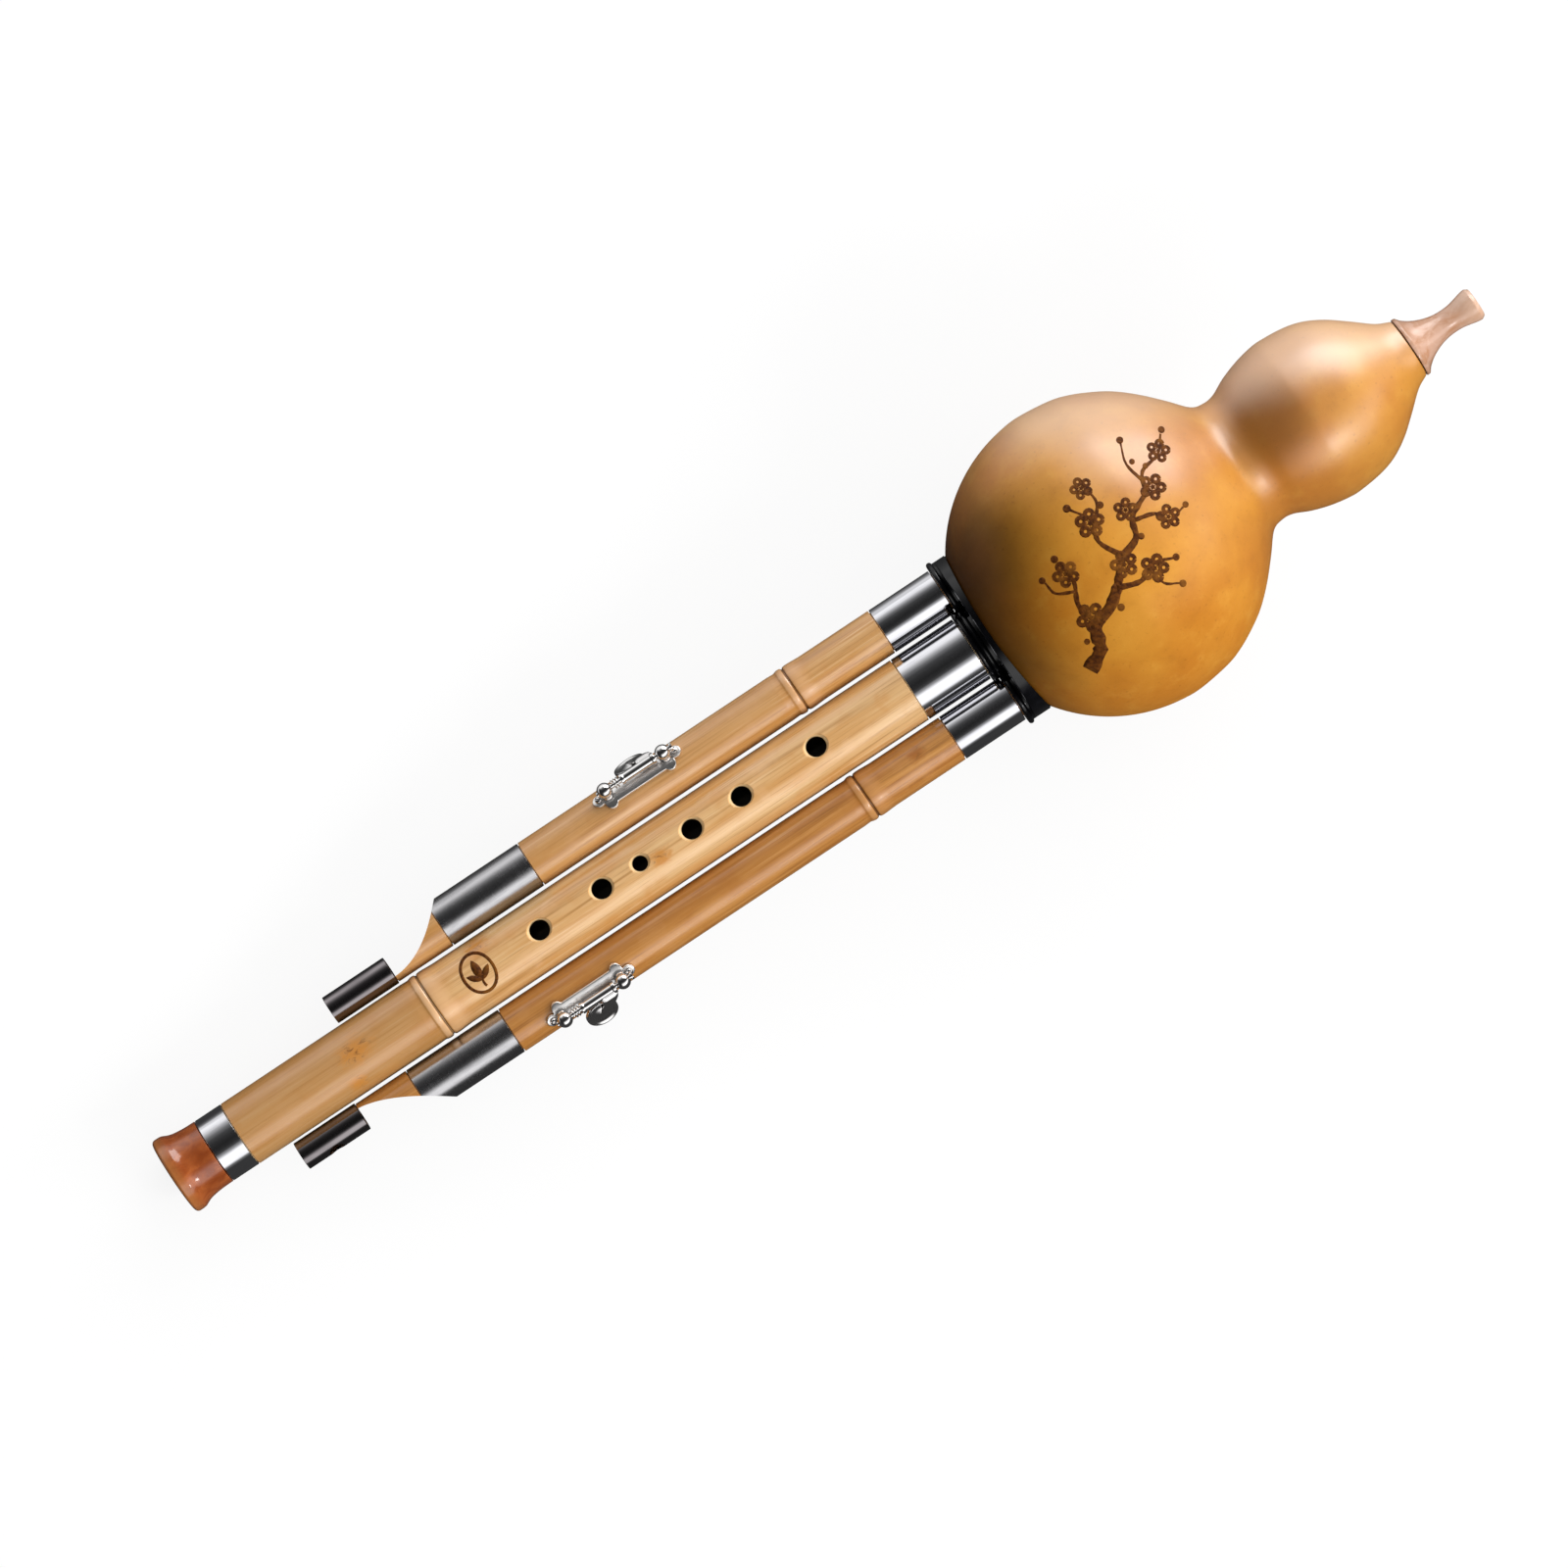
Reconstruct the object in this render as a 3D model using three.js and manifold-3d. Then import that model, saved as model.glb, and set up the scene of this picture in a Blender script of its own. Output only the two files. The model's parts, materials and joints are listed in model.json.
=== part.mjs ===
// Hulusi: a gourd wind chamber with one fingered melody pipe and two keyed drone pipes.
// Millimetres. Modelled along the pipes first: x = 0 is the mouth of the middle socket, +x runs to
// the mouthpiece, +z is the finger-hole side and +y the side of the left drone.
// The whole instrument is then tilted so that it lies on the back of its gourd and on its bell.

import * as THREE from "three";
import { mergeVertices } from "three/addons/utils/BufferGeometryUtils.js";
import Module from "manifold-3d";

const wasm = await Module();
wasm.setup();

// Driving dimensions
// General fits and cuts
const fit = 0.3;
const overrun = 2;
const degree = Math.PI / 180;

// Gourd
const gourd = {
  bulbRadius: 47,
  upperRadius: 26.05,
  neckRadius: 20.3,
  topRadius: 9.4,
  wall: 4,
  topWall: 5.5,
  bulbToNeck: 46.2,
  neckToUpper: 23.6,
  upperToTop: 33.7,
  restFlatDepth: 2,
  leanAngle: 0.78 * degree,
  leanPivot: 34,
};

// Mouthpiece
const mouthpiece = {
  length: 23.2,
  flangeRadius: 9.5,
  shoulderRadius: 6.3,
  waistRadius: 3.8,
  lipRadius: 5.1,
  lipRounding: 0.8,
  tenonRadius: 4.9,
  tenonLength: 9,
  boreRadius: 2.1,
  throatRadius: 3.2,
  corkThickness: 0.8,
};

// Black socket base
const base = {
  plateHalfHeight: 22,
  plateStart: 4.2,
  plateThickness: 1.4,
  plateBevel: 0.6,
  collarWall: 1.3,
  melodyCollarWall: 1.7,
  beadHeight: 0.8,
  beadWidth: 1.7,
  socketDepth: 15,
  outerMouth: 1.9,
  innerLength: 4,
  plugWallLoss: 0.3,
};

// Melody pipe
const melody = {
  radius: 10.15,
  wall: 2.95,
  length: 260,
  tenonStep: 1.55,
  tenonLength: 13,
  holeRadius: 3,
  smallHoleRadius: 2.3,
  holeChamfer: 0.9,
  holeTurn: 8 * degree,
  upperFerrule: 21.2,
  reedStep: 1.8,
  reedLength: 46,
};
const fingerHoleShares = [0.2027, 0.3012, 0.3662, 0.4342, 0.4846, 0.5662];
const smallHoleIndex = 3;
const thumbHoleShare = 0.143;
const melodyNodeShare = 0.708;

// Bell on the lower end of the melody pipe
const bell = {
  length: 13.6,
  rimRadius: 12,
  rimWidth: 2.4,
  rimRounding: 1,
  mouthRadius: 9.4,
  boreRadius: 5.7,
  flareDepth: 10.2,
  spigotLength: 12,
  ferruleLength: 8.6,
};

// Drone pipes
const drone = {
  radius: 7.15,
  wall: 2.55,
  gapToMelody: 0.95,
  sleeveToMelody: 0.6,
  tenonStep: 1.25,
  tenonLength: 12,
  upperFerrule: 20.6,
  nodeStation: 50.5,
  reedStep: 0.2,
  reedLength: 40,
  sleeveRadius: 4.35,
  sleeveWall: 0.5,
  sleeveLength: 20.8,
  pegLength: 14,
};
const leftDrone = {
  name: "left",
  side: 1,
  bodyLength: 169.5,
  scoopLength: 21.6,
  scoopPower: 2,
  tongue: 1.9,
  midFerrule: 30.8,
  midOverhang: 2.5,
  keyStation: 101.9,
  keyRestOpening: 0,
  sleeveHole: false,
};
const rightDrone = {
  name: "right",
  side: -1,
  bodyLength: 195.3,
  scoopLength: 25.6,
  scoopPower: 1.6,
  tongue: 1.5,
  midFerrule: 31.3,
  midOverhang: 8,
  keyStation: 147.3,
  keyRestOpening: 18 * degree,
  sleeveHole: true,
};
const sleeveHoleRadius = 2.5;
const sleeveHoleShare = 0.46;
const sleeveHoleAngle = 72 * degree;

// Metal rings, seals and bamboo joints that the pipes share
const ferruleWall = 0.55;
const ferruleLip = 0.8;
const corkThickness = 0.5;
const corkLengthShare = 0.6;
const nodeHeight = 0.25;
const nodeWidth = 5.2;
const nodeCrestShare = 0.36;

// Reed: a thin plate with a pointed tongue cut free by a V-shaped slit
const reed = {
  tubeWall: 1.3,
  plateLength: 20,
  plateThickness: 0.5,
  plateInset: 0.35,
  windowLength: 13,
  windowWidth: 2.6,
  slit: 0.3,
  flatDrop: 0.7,
  shoulder: 1.5,
  spigot: 8,
  endWall: 1.4,
};

// Key: plate, two ball posts, rod, lever with cup, pad, spring and two screws
const key = {
  hingeAngle: 32 * degree,
  cupAngle: 73 * degree,
  hingeRise: 2.75,
  postOffset: 9.9,
  ballRadius: 2.3,
  collarRadius: 1.8,
  tenonRadius: 0.8,
  tubeRadius: 1.7,
  rodRadius: 0.8,
  rodHeadRadius: 1.25,
  rodHead: 0.7,
  plateThickness: 0.8,
  plateHalfWidth: 3.2,
  lobeRadius: 1.9,
  lobeReach: 2.3,
  screwOffset: 12.9,
  screwHeadRadius: 1.05,
  screwHead: 0.85,
  screwRadius: 0.6,
  screwLength: 2,
  cupRadius: 5,
  cupWall: 0.65,
  cupDepth: 1.3,
  cupCrown: 0.8,
  padThickness: 1.3,
  seatDepth: 0.75,
  toneHoleRadius: 2.2,
  armThickness: 1.1,
  armWidth: 5.2,
  armStart: 1.8,
  armTip: 0.5,
  wireRadius: 0.22,
  springTurns: 2.5,
  springPitch: 0.88,
};

// Facet counts and steps
const roundGourd = 28;
const roundPipe = 24;
const roundDrone = 20;
const roundSmall = 12;
const roundTiny = 8;
const arcSteps = 3;
const curveSteps = 6;
const gourdSteps = 22;
const gourdInnerSteps = 10;
const ballSteps = 5;
const springSides = 3;
const springSteps = 7;
const coilCheckPoints = 200;

// Colours
const looks = {
  gourd: { color: 0xc98a3c, roughness: 0.45, metalness: 0 },
  mouthpiece: { color: 0xe2b99a, roughness: 0.25, metalness: 0 },
  cork: { color: 0xa9794b, roughness: 0.9, metalness: 0 },
  socket: { color: 0x0b0b0d, roughness: 0.15, metalness: 0 },
  bamboo: { color: 0xd2a460, roughness: 0.5, metalness: 0 },
  darkBamboo: { color: 0xbb7f3a, roughness: 0.5, metalness: 0 },
  bell: { color: 0x9c4f26, roughness: 0.2, metalness: 0 },
  polished: { color: 0xd8d8dc, roughness: 0.12, metalness: 1 },
  brushed: { color: 0x9a9a9e, roughness: 0.35, metalness: 1 },
  nickel: { color: 0xcfccd2, roughness: 0.2, metalness: 1 },
  brass: { color: 0xc8a04a, roughness: 0.3, metalness: 1 },
  pad: { color: 0xc9a77c, roughness: 0.8, metalness: 0 },
};

// Places that follow from the sizes above
const droneOffset = melody.radius + drone.gapToMelody + drone.radius;
const melodyInside = melody.radius - melody.wall;
const melodyTenon = melody.radius - melody.tenonStep;
const melodyReed = melodyInside - melody.reedStep;
const droneInside = drone.radius - drone.wall;
const droneTenon = drone.radius - drone.tenonStep;
const droneReed = droneInside - drone.reedStep;
const gourdMouth = base.plateStart + base.plateThickness + fit;
const mouthCutRadius = base.plateHalfHeight - base.plateBevel;
const bulbCentre = gourdMouth + Math.sqrt(gourd.bulbRadius ** 2 - mouthCutRadius ** 2);
const neckStation = bulbCentre + gourd.bulbToNeck;
const upperStation = neckStation + gourd.neckToUpper;
const gourdTop = upperStation + gourd.upperToTop;
const bellTop = -melody.length;
const bellEnd = bellTop - bell.length;
const melodyBore = melodyTenon + fit + corkThickness + fit;
const droneBore = droneTenon + fit + corkThickness + fit;
const seatHeight = drone.radius - key.seatDepth;
const plateInner = drone.radius + fit;
const plateOuter = plateInner + key.plateThickness;
const hingeHeight = plateOuter + key.hingeRise;

// Turn an outline of [along, radius] pairs round the x axis; the outline closes on itself
function turned(outline, sides) {
  const ring = outline.map(([along, radius]) => new THREE.Vector2(radius, along));
  const start = ring[0];
  const last = ring[ring.length - 1];
  const onAxis = start.x === 0 && last.x === 0;
  if (THREE.ShapeUtils.area(ring) < 0) ring.reverse();
  if (!onAxis) ring.push(ring[0].clone());
  const geometry = new THREE.LatheGeometry(ring, sides);
  return geometry.rotateZ(-Math.PI / 2);
}

// The same, standing on the z axis
function turnedUp(outline, sides) {
  return turned(outline, sides).rotateY(-Math.PI / 2);
}

function rod(start, end, radius, sides) {
  return turned([[start, 0], [start, radius], [end, radius], [end, 0]], sides);
}

function tube(start, end, outer, inner, sides) {
  return turned([[start, inner], [start, outer], [end, outer], [end, inner]], sides);
}

function rodUp(start, end, radius, sides) {
  return rod(start, end, radius, sides).rotateY(-Math.PI / 2);
}

// A flat outline in x and y, pushed along z from one height to another
function slab(points, low, high) {
  const shape = new THREE.Shape(points.map(([x, y]) => new THREE.Vector2(x, y)));
  const settings = { depth: high - low, bevelEnabled: false };
  return new THREE.ExtrudeGeometry(shape, settings).translate(0, 0, low);
}

// Closed solid for joining and cutting
function solid(geometry) {
  const bare = new THREE.BufferGeometry();
  bare.setAttribute("position", geometry.getAttribute("position").clone());
  if (geometry.index) bare.setIndex(geometry.index.clone());
  const merged = mergeVertices(bare);
  const corners = merged.index.array;
  const kept = [];
  for (let i = 0; i < corners.length; i += 3) {
    const [a, b, c] = [corners[i], corners[i + 1], corners[i + 2]];
    if (a !== b && b !== c && c !== a) kept.push(a, b, c);
  }
  return new wasm.Manifold(new wasm.Mesh({
    numProp: 3,
    vertProperties: new Float32Array(merged.getAttribute("position").array),
    triVerts: new Uint32Array(kept),
  }));
}

function geometryOf(body) {
  const mesh = body.getMesh();
  const geometry = new THREE.BufferGeometry();
  geometry.setAttribute("position", new THREE.BufferAttribute(mesh.vertProperties, mesh.numProp));
  geometry.setIndex(new THREE.BufferAttribute(mesh.triVerts, 1));
  return geometry;
}

function joined(geometries) {
  return geometries.map(solid).reduce((whole, part) => whole.add(part));
}

function piece(name, geometry, look) {
  const mesh = new THREE.Mesh(geometry, new THREE.MeshStandardMaterial(looks[look]));
  mesh.name = name;
  return mesh;
}

// Points of a raised bead across an outline, from start to start + width
function beadPoints(start, width, radius, height) {
  const points = [];
  for (let i = 0; i <= arcSteps; i += 1) {
    const turn = (Math.PI * i) / arcSteps;
    points.push([start + (width * (1 - Math.cos(turn))) / 2, radius + height * Math.sin(turn)]);
  }
  return points;
}

// Points of a bamboo joint: two low swellings with a groove between them
function nodePoints(station, radius) {
  const half = nodeWidth / 2;
  return [
    [station - half, radius],
    [station - half * nodeCrestShare, radius + nodeHeight],
    [station, radius - nodeHeight],
    [station + half * nodeCrestShare, radius + nodeHeight],
    [station + half, radius],
  ];
}

// Gourd
// Shares of the run from the lower bulb's middle to the neck: along, and of the radius left to lose
const shoulderShares = [
  [0.212, 0.955], [0.333, 0.891], [0.4545, 0.789], [0.576, 0.658],
  [0.697, 0.474], [0.818, 0.248], [0.92, 0.045], [1, 0],
];
const risingShares = [[0.15, 0.07], [0.356, 0.46], [0.593, 0.78], [0.83, 0.97], [1, 1]];
const fallingShares = [
  [0.214, 0.955], [0.38, 0.859], [0.546, 0.673], [0.712, 0.408], [0.878, 0.126], [1, 0],
];

// The round of the bulb starts a little inside the mouth's rim, and the mouth is cut square later
const mouthTurn = Math.asin((mouthCutRadius - overrun) / gourd.bulbRadius);
const roundStart = bulbCentre - gourd.bulbRadius * Math.cos(mouthTurn);

function gourdCurve() {
  const points = [];
  for (let i = 0; i <= curveSteps; i += 1) {
    const turn = mouthTurn + ((Math.PI / 2 - mouthTurn) * i) / curveSteps;
    points.push([
      bulbCentre - gourd.bulbRadius * Math.cos(turn),
      gourd.bulbRadius * Math.sin(turn),
    ]);
  }
  const between = (shares, start, span, low, high) => shares.map(([along, rise]) => [
    start + span * along,
    low + (high - low) * rise,
  ]);
  points.push(...between(
    shoulderShares, bulbCentre, gourd.bulbToNeck, gourd.neckRadius, gourd.bulbRadius,
  ));
  points.push(...between(
    risingShares, neckStation, gourd.neckToUpper, gourd.neckRadius, gourd.upperRadius,
  ));
  points.push(...between(
    fallingShares, upperStation, gourd.upperToTop, gourd.topRadius, gourd.upperRadius,
  ));
  return new THREE.SplineCurve(points.map(([x, r]) => new THREE.Vector2(x, r)));
}

function gourdInnerPoints(curve, count, topHole) {
  const points = [];
  for (let i = 0; i <= count; i += 1) {
    const share = i / count;
    const at = curve.getPoint(share);
    const along = curve.getTangent(share);
    const x = at.x + along.y * gourd.wall;
    const r = at.y - along.x * gourd.wall;
    if (x > gourdMouth && x < gourdTop - gourd.topWall && r > topHole) points.push([x, r]);
  }
  return points;
}

const topHoleRadius = mouthpiece.tenonRadius + fit + mouthpiece.corkThickness + fit;

function gourdBody() {
  const curve = gourdCurve();
  const outline = curve.getPoints(gourdSteps).map((p) => [p.x, p.y]);
  const inner = gourdInnerPoints(curve, gourdInnerSteps, topHoleRadius).reverse();
  const shell = [
    ...outline,
    [gourdTop, topHoleRadius],
    [gourdTop - gourd.topWall, topHoleRadius],
    ...inner,
    [roundStart, droneBore],
  ];
  return solid(turned(shell, roundGourd));
}

// The gourd grew a little out of line, so it leans towards the left drone
function leaned(geometry) {
  return geometry
    .translate(gourd.leanPivot, 0, 0)
    .rotateZ(gourd.leanAngle)
    .translate(-gourd.leanPivot, 0, 0);
}

function leanedSolid(body) {
  return solid(leaned(geometryOf(body)));
}

// Three overlapping rounds that pass through the gourd's mouth
function plugRounds(start, end, grow) {
  const sideRadius = droneBore + base.collarWall - base.plugWallLoss + grow;
  const middleRadius = melodyBore + base.melodyCollarWall - base.plugWallLoss + grow;
  return [
    rod(start, end, middleRadius, roundPipe),
    rod(start, end, sideRadius, roundDrone).translate(0, droneOffset, 0),
    rod(start, end, sideRadius, roundDrone).translate(0, -droneOffset, 0),
  ];
}

// The tilt that lets the gourd's flat and the bell's rim touch one plane
const restHeight = gourd.bulbRadius - gourd.restFlatDepth;
const bellToBulb = bulbCentre - (bellEnd + bell.rimRounding);
const restTilt = Math.asin(restHeight / Math.hypot(bell.rimRadius, bellToBulb))
  - Math.atan2(bell.rimRadius, bellToBulb);

function restCutter() {
  const reach = gourd.bulbRadius + overrun;
  const depth = gourd.restFlatDepth + overrun;
  return new THREE.BoxGeometry(reach, reach, depth)
    .translate(0, 0, -restHeight - depth / 2)
    .rotateY(restTilt)
    .translate(bulbCentre, 0, 0);
}

function makeGourd() {
  const front = rod(gourdMouth - gourd.bulbRadius, gourdMouth, gourd.bulbRadius, roundSmall);
  const mouthCut = joined([front, ...plugRounds(gourdMouth - overrun, socketEnd + overrun, fit)]);
  const body = leanedSolid(gourdBody()).subtract(mouthCut).subtract(solid(restCutter()));
  return piece("gourd_shell", geometryOf(body), "gourd");
}

// Mouthpiece: shares of its length, with the radius as a share between waist and shoulder or lip
const flangeEdgeShare = 0.035;
const waistShares = [[0.19, 1], [0.3, 0.5], [0.42, 0.15], [0.55, 0]];
const lipShares = [[0.7, 0.12], [0.87, 0.8], [0.95, 1]];

function makeMouthpiece() {
  const m = mouthpiece;
  const start = gourdTop + fit;
  const end = start + m.length;
  const between = (shares, radius) => shares.map(([along, rise]) => [
    start + m.length * along,
    m.waistRadius + (radius - m.waistRadius) * rise,
  ]);
  const outline = [
    [start - m.tenonLength, m.throatRadius],
    [start - m.tenonLength, m.tenonRadius],
    [start, m.tenonRadius],
    [start, m.flangeRadius],
    [start + m.length * flangeEdgeShare, m.flangeRadius],
    ...between(waistShares, m.shoulderRadius),
    ...between(lipShares, m.lipRadius),
    [end, m.lipRadius - m.lipRounding],
    [end, m.boreRadius],
    [start, m.boreRadius],
  ];
  return piece("mouthpiece", leaned(turned(outline, roundDrone)), "mouthpiece");
}

function makeMouthpieceCork() {
  const inner = mouthpiece.tenonRadius + fit;
  const start = gourdTop + fit - mouthpiece.tenonLength;
  const length = mouthpiece.tenonLength * corkLengthShare;
  const geometry = tube(start, start + length, inner + mouthpiece.corkThickness, inner, roundSmall);
  return piece("mouthpiece_cork", leaned(geometry), "cork");
}

// Socket base
const socketEnd = base.socketDepth + base.outerMouth;
const collarEnd = base.plateStart + base.innerLength + base.plateThickness;

function collar(mouth, radius, beads, sides) {
  const outline = [[mouth, 0]];
  for (let i = 0; i < beads; i += 1) {
    const start = mouth + base.beadWidth * i;
    outline.push(...beadPoints(start, base.beadWidth, radius, base.beadHeight).slice(i === 0 ? 0 : 1));
  }
  outline.push([collarEnd + overrun, radius], [collarEnd + overrun, 0]);
  return turned(outline, sides);
}

function basePlate() {
  const shape = new THREE.Shape();
  const halfWidth = droneOffset + droneBore + base.collarWall;
  shape.absellipse(0, 0, base.plateHalfHeight, halfWidth, 0, Math.PI * 2);
  const geometry = new THREE.ExtrudeGeometry(shape, {
    depth: collarEnd - base.plateStart,
    bevelThickness: base.plateBevel,
    bevelSize: base.plateBevel,
    bevelOffset: -base.plateBevel,
    bevelSegments: 1,
    curveSegments: roundSmall,
  });
  return geometry.rotateY(Math.PI / 2).translate(base.plateStart + base.plateBevel, 0, 0);
}

function makeSocketBase() {
  const sideCollar = droneBore + base.collarWall;
  const outside = joined([
    collar(0, melodyBore + base.melodyCollarWall, 2, roundPipe),
    collar(base.outerMouth, sideCollar, 1, roundDrone).translate(0, droneOffset, 0),
    collar(base.outerMouth, sideCollar, 1, roundDrone).translate(0, -droneOffset, 0),
    basePlate(),
  ]);
  const bulb = leaned(new THREE.SphereGeometry(gourd.bulbRadius + fit, roundGourd, roundGourd)
    .translate(bulbCentre, 0, 0));
  const back = gourdMouth - fit;
  const behind = rod(back, back + gourd.bulbRadius, gourd.bulbRadius, roundSmall);
  const scribed = outside.subtract(solid(bulb).intersect(solid(behind)));
  const plug = joined(plugRounds(base.plateStart + base.plateBevel, socketEnd, 0));
  const sideBore = () => joined([
    rod(-overrun, base.outerMouth, drone.radius + fit, roundDrone),
    rod(-overrun, socketEnd + overrun, droneBore, roundDrone),
  ]);
  const bores = solid(rod(-overrun, socketEnd + overrun, melodyBore, roundPipe))
    .add(sideBore().translate([0, droneOffset, 0]))
    .add(sideBore().translate([0, -droneOffset, 0]));
  return piece("socket_base", geometryOf(scribed.add(plug).subtract(bores)), "socket");
}

// Parts that every pipe has at its upper end
// Metal ring over the bamboo, with a lip that covers its shoulder and meets the socket
function upperFerrule(mouth, length, radius, tenonRadius, sides) {
  const inner = radius - ferruleWall;
  const end = mouth - fit;
  return turned([
    [mouth - length, inner],
    [mouth - length, radius],
    [end, radius],
    [end, tenonRadius + fit],
    [end - ferruleLip, tenonRadius + fit],
    [end - ferruleLip, inner],
  ], sides);
}

function tenonCork(mouth, length, tenonRadius, sides) {
  const inner = tenonRadius + fit;
  const start = mouth + (length * (1 - corkLengthShare)) / 2;
  return tube(start, start + length * corkLengthShare, inner + corkThickness, inner, sides);
}

function reedTube(tenonEnd, boreRadius, radius, length, shoulderRadius) {
  const innerRadius = radius - reed.tubeWall;
  const spigotRadius = boreRadius - fit;
  const end = tenonEnd + fit + length;
  const body = solid(turned([
    [tenonEnd - reed.spigot, innerRadius],
    [tenonEnd - reed.spigot, spigotRadius],
    [tenonEnd + fit, spigotRadius],
    [tenonEnd + fit, shoulderRadius],
    [tenonEnd + fit + reed.shoulder, shoulderRadius],
    [tenonEnd + fit + reed.shoulder, radius],
    [end - reed.endWall, radius],
    [end, radius - reed.endWall],
    [end, 0],
    [end - reed.endWall, 0],
    [end - reed.endWall, innerRadius],
  ], roundSmall));
  const flatHeight = radius - reed.flatDrop;
  const flatStart = tenonEnd + fit + reed.shoulder + reed.shoulder;
  const flatLength = end - reed.endWall - reed.shoulder - flatStart;
  const middle = flatStart + flatLength / 2;
  const flat = new THREE.BoxGeometry(flatLength, radius * 2, radius)
    .translate(middle, 0, flatHeight + radius / 2);
  const window = new THREE.BoxGeometry(reed.windowLength, reed.windowWidth, radius)
    .translate(middle, 0, radius / 2 + innerRadius / 2);
  return { geometry: geometryOf(body.subtract(solid(flat)).subtract(solid(window))), middle, flatHeight };
}

// Thin plate with a tongue left standing inside a V-shaped slit
function reedPlate(middle, flatHeight, radius) {
  const halfWidth = Math.sqrt(radius ** 2 - flatHeight ** 2) - reed.plateInset;
  const halfLength = reed.plateLength / 2;
  const root = -reed.windowLength / 2;
  const tip = reed.windowLength / 2;
  const wide = reed.windowWidth / 2;
  const shape = new THREE.Shape([
    new THREE.Vector2(-halfLength, -halfWidth),
    new THREE.Vector2(halfLength, -halfWidth),
    new THREE.Vector2(halfLength, halfWidth),
    new THREE.Vector2(-halfLength, halfWidth),
  ]);
  shape.holes.push(new THREE.Path([
    new THREE.Vector2(root, wide),
    new THREE.Vector2(tip, 0),
    new THREE.Vector2(root, -wide),
    new THREE.Vector2(root, -wide + reed.slit),
    new THREE.Vector2(tip - (reed.slit * reed.windowLength) / wide, 0),
    new THREE.Vector2(root, wide - reed.slit),
  ]));
  return new THREE.ExtrudeGeometry(shape, { depth: reed.plateThickness, bevelEnabled: false })
    .translate(middle, 0, flatHeight + fit);
}

// Melody pipe
function fingerHole(station, radius, turn) {
  const height = melody.radius + overrun;
  const rise = height - (melody.radius - melody.holeChamfer);
  return turnedUp([
    [0, 0],
    [0, radius],
    [melody.radius - melody.holeChamfer, radius],
    [height, radius + rise],
    [height, 0],
  ], roundSmall).translate(station, 0, 0).rotateX(turn);
}

function melodyTube() {
  const seat = melody.radius - ferruleWall - fit;
  const lower = bellTop + bell.ferruleLength + fit;
  return solid(turned([
    [bellTop + fit, melodyInside],
    [bellTop + fit, seat],
    [lower + fit, seat],
    [lower + fit, melody.radius],
    ...nodePoints(-melody.length * melodyNodeShare, melody.radius),
    [-melody.upperFerrule - fit, melody.radius],
    [-melody.upperFerrule - fit, seat],
    [-fit - ferruleLip - fit, seat],
    [-fit - ferruleLip - fit, melodyTenon],
    [melody.tenonLength, melodyTenon],
    [melody.tenonLength, melodyInside],
  ], roundPipe));
}

function makeMelodyPipe() {
  let body = melodyTube();
  fingerHoleShares.forEach((share, index) => {
    const radius = index === smallHoleIndex ? melody.smallHoleRadius : melody.holeRadius;
    body = body.subtract(solid(fingerHole(-melody.length * share, radius, -melody.holeTurn)));
  });
  const thumbTurn = Math.PI - melody.holeTurn;
  const thumb = fingerHole(-melody.length * thumbHoleShare, melody.holeRadius, thumbTurn);
  return piece("melody_pipe", geometryOf(body.subtract(solid(thumb))), "bamboo");
}

// Bell: outside, shares of the run from its rim to the pipe; inside, shares of the flare's depth
const bellOutsideShares = [[0.15, 0.76], [0.4, 0.26], [0.68, 0.05], [1, 0]];
const bellInsideShares = [[1, 0], [0.5, 0.28], [0, 1]];

function makeBell() {
  const rim = bellEnd + bell.rimWidth;
  const outside = bellOutsideShares.map(([along, rise]) => [
    rim + (bellTop - rim) * along,
    melody.radius + (bell.rimRadius - melody.radius) * rise,
  ]);
  const inside = bellInsideShares.map(([along, rise]) => [
    bellEnd + bell.flareDepth * along,
    bell.boreRadius + (bell.mouthRadius - bell.boreRadius) * rise,
  ]);
  const rounding = [];
  for (let i = 0; i <= arcSteps; i += 1) {
    const turn = (Math.PI / 2) * (i / arcSteps);
    rounding.push([
      bellEnd + bell.rimRounding * (1 - Math.cos(turn)),
      bell.rimRadius - bell.rimRounding * (1 - Math.sin(turn)),
    ]);
  }
  const spigot = melodyInside - fit;
  const spigotEnd = bellTop + bell.spigotLength;
  return piece("melody_bell", turned([
    ...rounding,
    [rim, bell.rimRadius],
    ...outside,
    [bellTop, spigot],
    [spigotEnd, spigot],
    [spigotEnd, bell.boreRadius],
    ...inside,
  ], roundPipe), "bell");
}

function makeBellFerrule() {
  const start = bellTop + fit;
  const geometry = tube(
    start, start + bell.ferruleLength, melody.radius, melody.radius - ferruleWall, roundPipe,
  );
  return piece("bell_ferrule", geometry, "polished");
}

function makeMelody() {
  const group = new THREE.Group();
  const m = melody;
  const ferrule = upperFerrule(0, m.upperFerrule, m.radius, melodyTenon, roundPipe);
  const reeds = reedTube(m.tenonLength, melodyInside, melodyReed, m.reedLength, melodyTenon - fit);
  group.add(
    makeMelodyPipe(),
    makeBell(),
    makeBellFerrule(),
    piece("melody_upper_ferrule", ferrule, "polished"),
    piece("melody_tenon_cork", tenonCork(0, m.tenonLength, melodyTenon, roundPipe), "cork"),
    piece("melody_reed_tube", reeds.geometry, "brass"),
    piece("melody_reed_plate", reedPlate(reeds.middle, reeds.flatHeight, melodyReed), "brass"),
  );
  return group;
}

// Drone pipes. In a drone's own frame x = 0 is its socket's mouth and its axis lies on y = 0, z = 0.
// Outwards is +y on the left drone and -y on the right one.
function outwards(geometry, side, angle) {
  return geometry.rotateX(-side * angle);
}

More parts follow.
